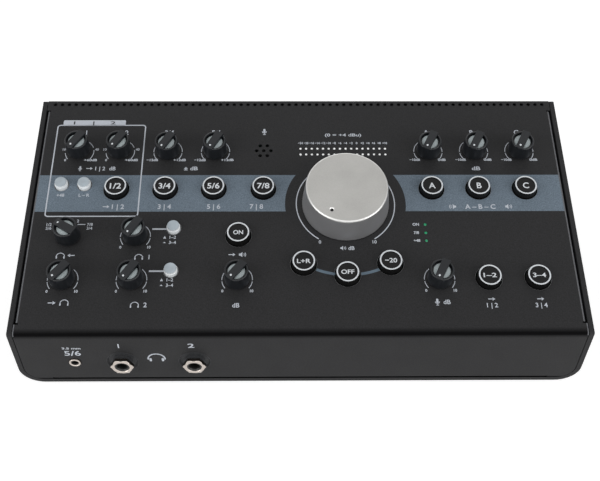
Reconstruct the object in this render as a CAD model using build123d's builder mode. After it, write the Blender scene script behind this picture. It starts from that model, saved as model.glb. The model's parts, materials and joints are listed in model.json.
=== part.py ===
from build123d import *
import math
import os

os.makedirs("parts", exist_ok=True)

# A desktop studio monitor controller. Millimetres, +Z up, +X to the right as seen
# from the front, +Y to the rear. The origin lies on the surface that the feet stand
# on, under the middle of the whole controller.
#
# Places on the sloping top are given as (x, s): x from the middle of the case,
# s up the slope from the fold at the front.

# ---------------------------------------------------------------- driving sizes: case
case_width = 373.0  # over both cheeks
top_length = 187.0  # sloping top, from the front fold to the rear edge
slope = 11.5  # degrees between the top and the level
front_height = 53.0  # front face, from the fold to the underside
wall = 3.2  # bottom and cheeks of the wrap
corner_radius = 15.0  # lower corners of the wrap
cheek_rounding = 1.2  # front and rear top corners of a cheek
sheet = 1.2  # cover and rear panel
bend_radius = 1.8  # outside of every bend in the sheet
seam = 0.2  # gap between the cover and the wrap, all round
flange_depth = 12.0  # flanges that stiffen the cover and the rear panel
flange_inset = 0.9  # flanges stand this far inside the edge of their sheet
lip_height = 12.0  # rear lip of the cover
relief = 1.3  # notch at each end of a flange
side_slot_start = 7.3  # front fold to the slots of the side flanges
side_slot_end = 9.0  # rear edge to the same slots
bottom_slot_margin = 5.5  # rounded corner to the slot of a bottom flange
rear_panel_gap = 0.3  # above the rear panel, under the rear bend
cutter_margin = 1.0  # cutters start this far outside what they cut

# ---------------------------------------------------------------- driving sizes: feet
foot_height = 3.0
foot_radius = 8.0
foot_taper = 8.0  # degrees
foot_side_inset = 34.5  # from the cheeks
foot_inset = 22.0  # from the front and the rear

# ---------------------------------------------------------------- driving sizes: air vents
vent_pitch = 5.0
vent_margin = 4.5  # least distance of the row's ends from the cover's edges
vent_radius = 1.2
vent_from_rear = 3.5  # row's centre line to the rear edge

# ---------------------------------------------------------------- driving sizes: volume knob
volume_place = (30.9, 97.8)
volume_radius = 29.7
volume_top_radius = 27.8  # where the bevel begins
volume_height = 21.4
volume_bevel_width = 1.0
volume_bevel_height = 1.4
volume_gap = 0.6  # knob to panel
volume_dimple_radius = 1.75
volume_dimple_depth = 0.7
volume_dimple_place = 20.9  # from the knob's axis
volume_rest_angle = 150.0  # degrees from straight up the slope, anticlockwise
volume_hollow_radius = 12.0  # hollow under the knob, round the bushing nut
volume_hollow_depth = 6.0
volume_shaft_radius = 3.0
volume_shaft_flat = 1.5  # depth of the D flat
volume_shaft_top = 15.0  # above the panel
volume_bushing_radius = 4.5
volume_bushing_top = 3.2
volume_nut_flats = 12.0
volume_nut_height = 2.2
shaft_clearance = 0.05  # running fit of the shaft in its bushing

# ---------------------------------------------------------------- driving sizes: small knobs
knob_base_radius = 8.35
knob_rim_radius = 7.9
knob_rim_height = 13.4
knob_bar_height = 14.7
knob_bar_width = 5.5
knob_nose_length = 4.0  # part of the bar that falls towards its pointing end
knob_nose_height = 0.3  # of the nose's end above the rim
knob_well_radius = 6.65
knob_well_depth = 2.4
knob_insert_radius = 5.6
knob_insert_height = 0.8
knob_gap = 2.0
knob_bore_depth = 7.5
knob_travel = 300.0  # degrees from stop to stop
selector_travel = 90.0
gain_knob_lift = 1.3  # the two gain knobs stand this much higher on their shafts
spline_radius = 3.0  # pot shaft, over its corners
spline_count = 8  # flats of the shaft
spline_clearance = 0.05  # shaft in the knob
shaft_hole_clearance = 0.7  # shaft to panel

# ---------------------------------------------------------------- driving sizes: ringed keys
key_radius = 8.25
key_top_radius = 7.4
key_height = 5.1
key_ring_width = 1.05
key_recess = 0.7
key_straight = 1.6  # straight part of the skirt above the panel
key_depth = 6.0  # skirt under the panel's face
key_clearance = 0.35
key_travel = 1.2

# ---------------------------------------------------------------- driving sizes: latching buttons
button_radius = 4.0
button_height = 4.5
button_rounding = 0.8
button_flange_radius = 4.55
button_flange_height = 2.6  # above the panel; still a little proud when pressed
button_clearance = 0.35
button_depth = 5.0
button_travel = 1.8

# ---------------------------------------------------------------- driving sizes: lamps and microphone
meter_offset = (-30.4, 46.3)  # first lamp from the volume knob
meter_pitch = 4.0
meter_columns = 16
meter_row_pitch = 5.0
lamp_radius = 0.85
lamp_clearance = 0.1
status_rows = (81.1, 74.6, 68.5)
status_radius = 1.0
mic_row = 142.4
mic_hole_pitch = 5.0
mic_hole_row = 4.25
mic_hole_radius = 1.3
mic_capsule_radius = 4.85
mic_capsule_height = 4.5
mic_post_width = 7.0

# ---------------------------------------------------------------- driving sizes: boards
board_thickness = 1.6
board_drop = 14.0  # panel face to the upper face of the control board
board_side_gap = 9.1  # cover's edge to the control board
board_front = 14.0  # s of the board's front edge
board_rear_gap = 17.0  # rear edge of the top to the control board
post_flats = 5.5
post_inset = 4.0  # board's edge to a post's axis
pot_width = 9.8
pot_length = 11.5
pot_height = 6.8
volume_pot_width = 17.0
volume_pot_height = 7.5
switch_width = 12.0
latch_width = 7.5
press_clearance = 0.4  # pressed key or button to its switch
part_gap = 0.1  # a shaft's end over its pot
rear_board_rise = 6.0  # floor to the board's underside
rear_board_depth = 62.0
rear_board_side_gap = 15.1  # cover's edge to the rear board
rear_post_inset = 15.0  # rear board's edge to a post's axis
jack_rise = 8.9  # phones board to the sockets' centre line
phones_board_depth = 40.0
phones_post_pitch = 12.0

# ---------------------------------------------------------------- driving sizes: front sockets
socket_drop = 30.0  # fold to the sockets' centre line
socket_bore_radius = 3.2
socket_mouth_radius = 4.0
socket_mouth_depth = 0.8
bushing_radius = 4.75
collar_radius = 6.0
dish_radius = 10.3
dish_floor_radius = 9.2
dish_depth = 1.5
phone_reach = 4.5  # nut's face in front of the case
nut_flats = 13.4
nut_height = 2.8
jack_width = 15.6
jack_depth = 26.0
socket_clearance = 0.15
mini_bore_radius = 1.8
mini_ring_radius = 3.85
mini_mouth_radius = 2.4
mini_reach = 1.0
mini_width = 11.0
mini_depth = 14.0

# ---------------------------------------------------------------- driving sizes: rear sockets
line_lower = 25.0  # centre of the lower socket above the surface
line_pitch = 21.0  # lower to upper socket
line_nose_radius = 5.6
line_nose_reach = 3.6
line_width = 15.0
line_depth = 29.0
combo_height = 37.0
combo_radius = 11.8
combo_flange_width = 26.0
combo_flange_height = 31.0
combo_flange_corner = 2.0
combo_flange = 2.0
combo_depth = 30.0
combo_pin_radius = 1.6
combo_pin_circle = 8.0
combo_pin_start = 30.0  # degrees, first of the three
usb_width = 12.0
usb_height = 11.0
usb_depth = 16.0
usb_wall = 1.0
usb_tongue = (5.6, 3.2)
usb_lift = 3.0
dc_width = 9.0
dc_height = 11.0
dc_depth = 14.0
dc_bore_radius = 3.1
dc_bore_depth = 9.5
dc_pin_radius = 1.0
dc_hole_clearance = 0.6
power_width = 14.0
power_height = 12.0
power_depth = 20.0
power_cap = 8.0
power_cap_reach = 3.2
power_travel = 2.4
power_clearance = 0.35
power_chamfer = 0.6

# ---------------------------------------------------------------- driving sizes: columns and rows
# Columns of the left half are measured in from the left cheek's outside and those of
# the right half from the right cheek's. What goes round the volume knob keeps to it.
gain_1_column = 31.1
gain_2_column = 59.8
pair_3_4_column = 93.4
pair_5_6_column = 126.9
digital_column = 161.1
studio_column = 144.8
phones_column = 75.9
phones_button_column = 101.1
phantom_column = 21.8
pan_column = 37.6
mini_column = 38.5
phone_columns = (69.7, 116.8)
dc_column = 182.5
monitor_a_column = 95.7
monitor_b_column = 63.3
monitor_c_column = 31.0
status_column = 102.1
top_row = 141.4
band_row = 109.8
upper_row = 72.0
lower_row = 39.2
switch_row = 113.3  # the two latching buttons on the band
phones_switch_rows = (78.2, 45.7)
key_lift = 0.7  # keys stand this much further up than the knobs of their row
mono_offset = (-29.0, -47.1)  # keys round the volume knob, from its axis
mute_offset = (-0.4, -55.2)
dim_offset = (28.3, -46.7)
line_offset = -3.9  # the middle pair of line sockets, from the volume knob's axis

# ---------------------------------------------------------------- places of the controls
left_edge = -case_width / 2
right_edge = case_width / 2
gain_1_x = left_edge + gain_1_column
gain_2_x = left_edge + gain_2_column
pair_3_4_x = left_edge + pair_3_4_column
pair_5_6_x = left_edge + pair_5_6_column
digital_x = left_edge + digital_column
studio_x = left_edge + studio_column
phones_x = left_edge + phones_column
phones_button_x = left_edge + phones_button_column
monitor_a_x = right_edge - monitor_a_column
monitor_b_x = right_edge - monitor_b_column
monitor_c_x = right_edge - monitor_c_column
status_x = right_edge - status_column

knob_places = {
    "gain_knob_1": (gain_1_x, top_row),
    "gain_knob_2": (gain_2_x, top_row),
    "trim_knob_3_4": (pair_3_4_x, top_row),
    "trim_knob_5_6": (pair_5_6_x, top_row),
    "trim_knob_a": (monitor_a_x, top_row),
    "trim_knob_b": (monitor_b_x, top_row),
    "trim_knob_c": (monitor_c_x, top_row),
    "cue_source_knob": (gain_1_x, upper_row),
    "phones_knob_1": (phones_x, upper_row),
    "direct_monitor_knob": (gain_1_x, lower_row),
    "phones_knob_2": (phones_x, lower_row),
    "studio_level_knob": (studio_x, lower_row),
    "talkback_level_knob": (monitor_a_x, lower_row),
}
selector_name = "cue_source_knob"
lifted_knobs = ("gain_knob_1", "gain_knob_2")

# Pointers at the lower stop, in degrees from straight up the slope, anticlockwise.
# Each knob is pushed onto the splines of its shaft, so they differ a little.
knob_rest_angles = {
    "gain_knob_1": 146.0,
    "gain_knob_2": 146.5,
    "trim_knob_3_4": 149.0,
    "trim_knob_5_6": 149.5,
    "trim_knob_a": 153.0,
    "trim_knob_b": 153.0,
    "trim_knob_c": 153.0,
    "cue_source_knob": 58.5,
    "phones_knob_1": 146.0,
    "direct_monitor_knob": 140.0,
    "phones_knob_2": 146.0,
    "studio_level_knob": 141.0,
    "talkback_level_knob": 154.0,
}


def from_volume(offset):
    """(x, s) of a place given from the volume knob's axis."""
    return (volume_place[0] + offset[0], volume_place[1] + offset[1])


key_places = {
    "key_1_2": (gain_2_x, band_row),
    "key_3_4": (pair_3_4_x, band_row),
    "key_5_6": (pair_5_6_x, band_row),
    "key_digital": (digital_x, band_row),
    "key_a": (monitor_a_x, band_row),
    "key_b": (monitor_b_x, band_row),
    "key_c": (monitor_c_x, band_row),
    "key_on": (studio_x, upper_row + key_lift),
    "key_mono": from_volume(mono_offset),
    "key_mute": from_volume(mute_offset),
    "key_dim": from_volume(dim_offset),
    "key_2tr": (monitor_b_x, lower_row + key_lift),
    "key_cue": (monitor_c_x, lower_row + key_lift),
}

button_places = {
    "phantom_button": (left_edge + phantom_column, switch_row),
    "pan_button": (left_edge + pan_column, switch_row),
    "phones_button_1": (phones_button_x, phones_switch_rows[0]),
    "phones_button_2": (phones_button_x, phones_switch_rows[1]),
}

meter_first = from_volume(meter_offset)
meter_middle = (
    meter_first[0] + meter_pitch * (meter_columns - 1) / 2,
    meter_first[1] - meter_row_pitch / 2,
)
status_places = [(status_x, row) for row in status_rows]
mic_place = (digital_x, mic_row)
phone_places = [left_edge + column for column in phone_columns]
mini_place = left_edge + mini_column
line_places = (
    pair_3_4_x,
    volume_place[0] + line_offset,
    monitor_a_x,
    monitor_b_x,
    monitor_c_x,
)
combo_places = (gain_1_x, gain_2_x)
usb_place = digital_x
dc_place = left_edge + dc_column
power_place = pair_5_6_x

# ---------------------------------------------------------------- worked-out sizes
tilt = math.radians(slope)
body_depth = top_length * math.cos(tilt)
rear_reach = max(line_nose_reach, combo_flange) - sheet
overall_depth = phone_reach + body_depth + rear_reach
front_y = phone_reach - overall_depth / 2
rear_y = front_y + body_depth
rear_face_y = rear_y - sheet  # outside of the rear panel, behind the cover's lip
under_z = foot_height
floor_z = under_z + wall
fold_z = under_z + front_height
rear_top_z = fold_z + top_length * math.sin(tilt)
socket_z = fold_z - socket_drop
cover_half = case_width / 2 - wall - seam
cover_corner = corner_radius - wall - seam
cover_bottom_z = floor_z + seam
bottom_slot_half = cover_half - cover_corner - bottom_slot_margin
side_slot_rear = top_length - side_slot_end
slot_width = flange_inset + bend_radius
vent_count = math.floor(2 * (cover_half - vent_margin) / vent_pitch) + 1
foot_x = case_width / 2 - foot_side_inset
rear_panel_top_z = rear_top_z - bend_radius - sheet - rear_panel_gap
board_half = cover_half - board_side_gap
board_rear = top_length - board_rear_gap
board_top_n = -board_drop
switch_height = board_drop - key_depth - key_travel - press_clearance
latch_height = board_drop - button_depth - button_travel - press_clearance
rear_board_z = floor_z + rear_board_rise
rear_board_half = cover_half - rear_board_side_gap
phones_board_top = socket_z - jack_rise
phones_board_z = phones_board_top - board_thickness

panel = Plane(
    origin=(0, front_y, fold_z),
    x_dir=(1, 0, 0),
    z_dir=(0, -math.sin(tilt), math.cos(tilt)),
)
front = Plane(origin=(0, front_y, 0), x_dir=(1, 0, 0), z_dir=(0, -1, 0))
rear = Plane(origin=(0, rear_face_y, 0), x_dir=(-1, 0, 0), z_dir=(0, 1, 0))


def write(part, name):
    """Label a finished piece and write it to its own file."""
    part.label = name
    export_step(part, f"parts/{name}.step")


def on_panel(place, height=0.0, turn=0.0):
    """Plane parallel to the sloping top at (x, s), turned anticlockwise about its normal."""
    x, s = place
    return Plane(
        origin=panel.from_local_coords((x, s, height)),
        x_dir=panel.x_dir.rotate(Axis((0, 0, 0), panel.z_dir), turn),
        z_dir=panel.z_dir,
    )


def case_outline(half, bottom, radius, top):
    """Front view of the case or of what fits in it: square above, rounded below."""
    with BuildSketch() as outline:
        with Locations((0, bottom)):
            Rectangle(2 * half, top - bottom, align=(Align.CENTER, Align.MIN))
        fillet(outline.vertices().group_by(Axis.Y)[0], radius)
    return outline.sketch


def bottom_flange(face_y, inward):
    """Flange bent from the foot of an upright panel, over the floor of the case."""
    foot = cover_bottom_z + flange_inset
    with BuildPart() as flange:
        with BuildSketch(Plane.YZ):
            with BuildLine():
                FilletPolyline(
                    (face_y, foot + bend_radius + sheet),
                    (face_y, foot),
                    (face_y + inward * flange_depth, foot),
                    radius=bend_radius,
                )
                offset(
                    amount=sheet,
                    side=Side.LEFT if inward > 0 else Side.RIGHT,
                )
            make_face()
        extrude(amount=bottom_slot_half - relief, both=True)
    return flange.part


# ================================================================ case
# The wrap: bottom and two cheeks in one piece, cut off along the slope of the top.
with BuildPart() as bottom_shell:
    with BuildSketch(front):
        add(case_outline(case_width / 2, under_z, corner_radius, rear_top_z + cutter_margin))
        add(
            case_outline(
                case_width / 2 - wall,
                floor_z,
                corner_radius - wall,
                rear_top_z + 2 * cutter_margin,
            ),
            mode=Mode.SUBTRACT,
        )
    extrude(amount=-body_depth)
    with BuildSketch(Plane.YZ) as side_view:
        Polygon(
            (front_y, under_z),
            (front_y, fold_z),
            (rear_y, rear_top_z),
            (rear_y, under_z),
            align=None,
        )
        fillet(side_view.vertices().group_by(Axis.Y)[-1], cheek_rounding)
        fillet(
            side_view.vertices()
            .filter_by_position(Axis.X, front_y - seam, front_y + seam)
            .sort_by(Axis.Y)[-1],
            bend_radius,
        )
    extrude(amount=case_width / 2, both=True, mode=Mode.INTERSECT)
write(bottom_shell.part, "bottom_shell")

# The bent cover: front face, sloping top and rear lip, with flanges on three sides.
side_slot_length = side_slot_rear - side_slot_start
with BuildPart() as top_cover:
    with BuildSketch(Plane.YZ):
        with BuildLine():
            FilletPolyline(
                (front_y, cover_bottom_z),
                (front_y, fold_z),
                (rear_y, rear_top_z),
                (rear_y, rear_top_z - lip_height),
                radius=bend_radius,
            )
            offset(amount=sheet, side=Side.RIGHT)
        make_face()
    extrude(amount=cover_half, both=True)
    with BuildSketch(front.offset(cutter_margin)):
        add(case_outline(cover_half, cover_bottom_z, cover_corner, rear_top_z + cutter_margin))
    extrude(amount=-(body_depth + 2 * cutter_margin), mode=Mode.INTERSECT)

    # Slots in the edges, where the flanges bend down.
    with BuildSketch(panel.offset(cutter_margin)):
        with Locations((0, side_slot_start + side_slot_length / 2)):
            with GridLocations(2 * cover_half, 0, 2, 1):
                Rectangle(2 * slot_width, side_slot_length)
    extrude(amount=-(cutter_margin + 2 * sheet), mode=Mode.SUBTRACT)
    with BuildSketch(front.offset(cutter_margin)):
        with Locations((0, cover_bottom_z)):
            Rectangle(2 * bottom_slot_half, 2 * slot_width)
    extrude(amount=-(cutter_margin + 2 * sheet), mode=Mode.SUBTRACT)

    # Side flanges inside the cheeks, and the one under the front face.
    flange_start = Plane(
        origin=panel.from_local_coords((0, side_slot_start + relief, 0)),
        x_dir=panel.x_dir,
        z_dir=panel.y_dir,
    )
    with BuildSketch(flange_start):
        with BuildLine():
            FilletPolyline(
                (cover_half - slot_width - sheet, 0),
                (cover_half - flange_inset, 0),
                (cover_half - flange_inset, flange_depth),
                radius=bend_radius,
            )
            offset(amount=sheet, side=Side.LEFT)
        make_face()
        mirror(about=Plane.YZ)
    extrude(amount=side_slot_length - 2 * relief)
    add(bottom_flange(front_y, 1))

    # Pressed dishes round the headphone sockets.
    with Locations(*[front.location * Pos(x, socket_z, 0) for x in phone_places]):
        Cone(
            dish_floor_radius + sheet,
            dish_radius + sheet,
            dish_depth + sheet,
            align=(Align.CENTER, Align.CENTER, Align.MAX),
        )
        Cone(
            dish_floor_radius,
            dish_radius,
            dish_depth,
            align=(Align.CENTER, Align.CENTER, Align.MAX),
            mode=Mode.SUBTRACT,
        )
    with BuildSketch(front):
        with Locations(*[(x, socket_z) for x in phone_places]):
            Circle(bushing_radius + socket_clearance)
        with Locations((mini_place, socket_z)):
            Circle(mini_ring_radius + socket_clearance)
    extrude(amount=-(dish_depth + 2 * sheet), mode=Mode.SUBTRACT)

    # Holes in the top: shafts, keys, buttons, lamps, microphone and air.
    with BuildSketch(panel.offset(cutter_margin)):
        with Locations(*knob_places.values()):
            RegularPolygon(spline_radius + shaft_hole_clearance, spline_count)
        with Locations(volume_place):
            Circle(volume_bushing_radius + socket_clearance)
        with Locations(*key_places.values()):
            Circle(key_radius + key_clearance)
        with Locations(*button_places.values()):
            Circle(button_flange_radius + button_clearance)
        with Locations(*status_places):
            RegularPolygon(status_radius + lamp_clearance, 6)
        with Locations(meter_middle):
            with GridLocations(meter_pitch, meter_row_pitch, meter_columns, 2):
                RegularPolygon(lamp_radius + lamp_clearance, 6)
        with Locations(mic_place):
            with GridLocations(mic_hole_pitch, 0, 3, 1):
                RegularPolygon(mic_hole_radius, 6)
            with GridLocations(mic_hole_pitch, 2 * mic_hole_row, 2, 2):
                RegularPolygon(mic_hole_radius, 6)
        with Locations((0, top_length - vent_from_rear)):
            with GridLocations(vent_pitch, 0, vent_count, 1):
                RegularPolygon(vent_radius, 6)
    extrude(amount=-(cutter_margin + 2 * sheet), mode=Mode.SUBTRACT)
write(top_cover.part, "top_cover")

# Rear panel, set behind the cover's lip, with holes for the sockets.
with BuildPart() as rear_panel:
    with BuildSketch(rear):
        add(case_outline(cover_half, cover_bottom_z, cover_corner, rear_panel_top_z))
        with Locations((0, cover_bottom_z)):
            Rectangle(2 * bottom_slot_half, 2 * slot_width, mode=Mode.SUBTRACT)
        with Locations(
            *[(-x, line_lower + line_pitch / 2) for x in line_places],
        ):
            with GridLocations(0, line_pitch, 1, 2):
                Circle(line_nose_radius + socket_clearance, mode=Mode.SUBTRACT)
        with Locations(*[(-x, combo_height) for x in combo_places]):
            Circle(combo_radius + socket_clearance, mode=Mode.SUBTRACT)
        with Locations((-usb_place, rear_board_z + board_thickness + usb_lift)):
            Rectangle(
                usb_width + 2 * socket_clearance,
                usb_height + 2 * socket_clearance,
                align=(Align.CENTER, Align.MIN),
                mode=Mode.SUBTRACT,
            )
        with Locations((-dc_place, rear_board_z + board_thickness + dc_height / 2)):
            Circle(dc_bore_radius + dc_hole_clearance, mode=Mode.SUBTRACT)
        with Locations((-power_place, rear_board_z + board_thickness + power_height / 2)):
            Rectangle(
                power_cap + 2 * power_clearance,
                power_cap + 2 * power_clearance,
                mode=Mode.SUBTRACT,
            )
    extrude(amount=-sheet)
    add(bottom_flange(rear_face_y, -1))
write(rear_panel.part, "rear_panel")

# Four rubber feet.
with BuildPart() as feet:
    with BuildSketch(Plane.XY.offset(under_z)):
        with Locations((0, front_y + body_depth / 2)):
            with GridLocations(2 * foot_x, body_depth - 2 * foot_inset, 2, 2):
                Circle(foot_radius)
    extrude(amount=-foot_height, taper=foot_taper)
write(feet.part, "feet")

# ================================================================ volume control
volume_plane = on_panel(volume_place)

with BuildPart() as volume_pot:
    with BuildSketch(volume_plane.offset(board_top_n)):
        Rectangle(volume_pot_width, volume_pot_width)
    extrude(amount=volume_pot_height)
    with BuildSketch(volume_plane.offset(board_top_n + volume_pot_height)):
        Circle(volume_bushing_radius)
    extrude(amount=board_drop - volume_pot_height + volume_bushing_top)
    with BuildSketch(volume_plane.offset(volume_bushing_top)):
        Circle(volume_shaft_radius + shaft_clearance)
    extrude(
        amount=-(volume_bushing_top + board_drop - volume_pot_height / 2),
        mode=Mode.SUBTRACT,
    )
write(volume_pot.part, "volume_pot")

volume_bottom = board_top_n + volume_pot_height / 2 + part_gap


def d_section(radius, flat):
    """Round shaft with one flat, facing away from the pointer."""
    with BuildSketch() as section:
        Circle(radius)
        with Locations((0, -radius)):
            Rectangle(
                2 * radius,
                2 * flat,
                mode=Mode.SUBTRACT,
            )
    return section.sketch


turned_volume = on_panel(volume_place, turn=volume_rest_angle)

with BuildPart() as volume_shaft:
    with BuildSketch(turned_volume.offset(volume_bottom)):
        Circle(volume_shaft_radius)
    extrude(amount=volume_bushing_top - volume_bottom)
    with BuildSketch(turned_volume.offset(volume_bushing_top)):
        add(d_section(volume_shaft_radius, volume_shaft_flat))
    extrude(amount=volume_shaft_top - volume_bushing_top)
write(volume_shaft.part, "volume_shaft")

# The turned aluminium knob: one revolved shell with a bevel at its top edge.
with BuildPart() as volume_knob:
    with BuildSketch(Plane(turned_volume.origin, turned_volume.x_dir, -turned_volume.y_dir)):
        with BuildLine():
            Polyline(
                (0, volume_gap + volume_hollow_depth),
                (volume_hollow_radius, volume_gap + volume_hollow_depth),
                (volume_hollow_radius, volume_gap),
                (volume_radius, volume_gap),
                (volume_top_radius, volume_height - volume_bevel_height),
                (volume_top_radius - volume_bevel_width, volume_height),
                (0, volume_height),
                close=True,
            )
        make_face()
    revolve(axis=Axis(turned_volume.origin, turned_volume.z_dir))
    with BuildSketch(turned_volume.offset(volume_gap)):
        add(d_section(volume_shaft_radius + shaft_clearance, volume_shaft_flat))
    extrude(amount=volume_shaft_top + part_gap - volume_gap, mode=Mode.SUBTRACT)
    dimple_sphere = (
        volume_dimple_radius**2 + volume_dimple_depth**2
    ) / (2 * volume_dimple_depth)
    with Locations(
        turned_volume.location
        * Pos(0, volume_dimple_place, volume_height + dimple_sphere - volume_dimple_depth)
    ):
        Sphere(dimple_sphere, mode=Mode.SUBTRACT)
write(volume_knob.part, "volume_knob")

# ================================================================ small knobs
knob_wall_taper = math.degrees(
    math.atan((knob_base_radius - knob_rim_radius) / (knob_rim_height - knob_gap))
)


def small_knob(name, place, turn, lift):
    """Tapered knob with a well in its top, a grey insert, a pointer bar and its shaft."""
    here = on_panel(place, lift, turn)
    well_floor = knob_rim_height - knob_well_depth
    shaft_bottom = board_top_n + pot_height + part_gap
    shaft_top = lift + knob_gap + knob_bore_depth - part_gap
    with BuildPart() as knob:
        with BuildSketch(here.offset(knob_gap)):
            Circle(knob_base_radius)
        extrude(amount=knob_rim_height - knob_gap, taper=knob_wall_taper)
        with BuildSketch(here.offset(knob_rim_height)):
            Circle(knob_well_radius)
        extrude(amount=-knob_well_depth, mode=Mode.SUBTRACT)
        with BuildSketch(here.offset(knob_rim_height)):
            Rectangle(knob_bar_width, 2 * knob_well_radius)
        extrude(amount=-(knob_well_depth - knob_insert_height))
        with BuildSketch(Plane(here.origin, here.y_dir, here.x_dir)):
            Polygon(
                (-knob_rim_radius, knob_rim_height),
                (knob_rim_radius, knob_rim_height),
                (knob_rim_radius, knob_rim_height + knob_nose_height),
                (knob_rim_radius - knob_nose_length, knob_bar_height),
                (-knob_rim_radius, knob_bar_height),
                align=None,
            )
        extrude(amount=knob_bar_width / 2, both=True)
        with BuildSketch(here.offset(knob_gap)):
            RegularPolygon(spline_radius + spline_clearance, spline_count)
        extrude(amount=knob_bore_depth, mode=Mode.SUBTRACT)
    with BuildPart() as insert:
        with BuildSketch(here.offset(well_floor)):
            Circle(knob_insert_radius)
        extrude(amount=knob_insert_height)
    with BuildPart() as shaft:
        with BuildSketch(on_panel(place, shaft_bottom, turn)):
            RegularPolygon(spline_radius, spline_count)
        extrude(amount=shaft_top - shaft_bottom)
    pieces = [knob.part.solid(), insert.part.solid(), shaft.part.solid()]
    write(Compound(children=pieces), name)


for knob_name, knob_place in knob_places.items():
    small_knob(
        knob_name,
        knob_place,
        knob_rest_angles[knob_name],
        gain_knob_lift if knob_name in lifted_knobs else 0.0,
    )

pot_places = [p for name, p in knob_places.items() if name != selector_name]

with BuildPart() as knob_pots:
    with BuildSketch(panel.offset(board_top_n)):
        with Locations(*pot_places):
            Rectangle(pot_width, pot_length)
    extrude(amount=pot_height)
write(knob_pots.part, "knob_pots")

with BuildPart() as source_switch:
    with BuildSketch(panel.offset(board_top_n)):
        with Locations(knob_places[selector_name]):
            RegularPolygon(pot_length / 2, 12)
    extrude(amount=pot_height)
write(source_switch.part, "source_switch")

# ================================================================ ringed keys
key_taper = math.degrees(
    math.atan((key_radius - key_top_radius) / (key_height - key_straight))
)


def ringed_key(name, place):
    """Round key with a raised ring round its legend."""
    here = on_panel(place)
    with BuildPart() as key:
        with BuildSketch(here.offset(-key_depth)):
            Circle(key_radius)
        extrude(amount=key_depth + key_straight)
        with BuildSketch(here.offset(key_straight)):
            Circle(key_radius)
        extrude(amount=key_height - key_straight, taper=key_taper)
        with BuildSketch(here.offset(key_height)):
            Circle(key_top_radius - key_ring_width)
        extrude(amount=-key_recess, mode=Mode.SUBTRACT)
    write(key.part, name)


for key_name, key_place in key_places.items():
    ringed_key(key_name, key_place)

with BuildPart() as key_switches:
    with BuildSketch(panel.offset(board_top_n)):
        with Locations(*key_places.values()):
            Rectangle(switch_width, switch_width)
    extrude(amount=switch_height)
write(key_switches.part, "key_switches")

# ================================================================ latching buttons


def latching_button(name, place):
    """Small push button: a cap with a rounded top edge on a flange that fills its hole."""
    here = on_panel(place)
    with BuildPart() as button:
        with BuildSketch(here.offset(-button_depth)):
            Circle(button_flange_radius)
        extrude(amount=button_depth + button_flange_height)
        with BuildSketch(here):
            Circle(button_radius)
        extrude(amount=button_height)
        top_edge = button.faces().sort_by(Axis(here.origin, here.z_dir))[-1].edges()
        chamfer(top_edge, button_rounding, button_rounding / 2)
    write(button.part, name)


for button_name, button_place in button_places.items():
    latching_button(button_name, button_place)

with BuildPart() as latch_switches:
    with BuildSketch(panel.offset(board_top_n)):
        with Locations(*button_places.values()):
            Rectangle(latch_width, latch_width)
    extrude(amount=latch_height)
write(latch_switches.part, "latch_switches")

# ================================================================ lamps and microphone
with BuildPart() as meter_lamps:
    with BuildSketch(panel.offset(board_top_n)):
        with Locations(meter_middle):
            with GridLocations(meter_pitch, meter_row_pitch, meter_columns, 2):
                RegularPolygon(lamp_radius, 6)
    extrude(amount=board_drop)
write(meter_lamps.part, "meter_lamps")

with BuildPart() as status_lamps:
    with BuildSketch(panel.offset(board_top_n)):
        with Locations(*status_places):
            RegularPolygon(status_radius, 6)
    extrude(amount=board_drop)
write(status_lamps.part, "status_lamps")

mic_plane = on_panel(mic_place)
mic_top = -sheet - part_gap
with BuildPart() as talkback_mic:
    with BuildSketch(mic_plane.offset(mic_top - mic_capsule_height)):
        Circle(mic_capsule_radius)
    extrude(amount=mic_capsule_height)
    with BuildSketch(mic_plane.offset(board_top_n)):
        Rectangle(mic_post_width, mic_post_width)
    extrude(amount=board_drop + mic_top - mic_capsule_height)
write(talkback_mic.part, "talkback_mic")

# ================================================================ boards
with BuildPart() as control_board:
    with BuildSketch(panel.offset(board_top_n)):
        with Locations((0, (board_front + board_rear) / 2)):
            Rectangle(2 * board_half, board_rear - board_front)
    extrude(amount=-board_thickness)
write(control_board.part, "control_board")

with BuildPart() as rear_board:
    with BuildSketch(Plane.XY.offset(rear_board_z)):
        with Locations((0, rear_face_y - sheet - part_gap)):
            Rectangle(
                2 * rear_board_half,
                rear_board_depth,
                align=(Align.CENTER, Align.MAX),
            )
    extrude(amount=board_thickness)
write(rear_board.part, "rear_board")

phones_left = mini_place - mini_width
phones_right = max(phone_places) + jack_width
phones_middle = (phones_left + phones_right) / 2
phones_board_rear_y = front_y + 2 * sheet + dish_depth + phones_board_depth
with BuildPart() as phones_board:
    with BuildSketch(Plane.XY.offset(phones_board_z)):
        with Locations((phones_middle, phones_board_rear_y)):
            Rectangle(
                phones_right - phones_left,
                phones_board_depth,
                align=(Align.CENTER, Align.MAX),
            )
    extrude(amount=board_thickness)
write(phones_board.part, "phones_board")

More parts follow.
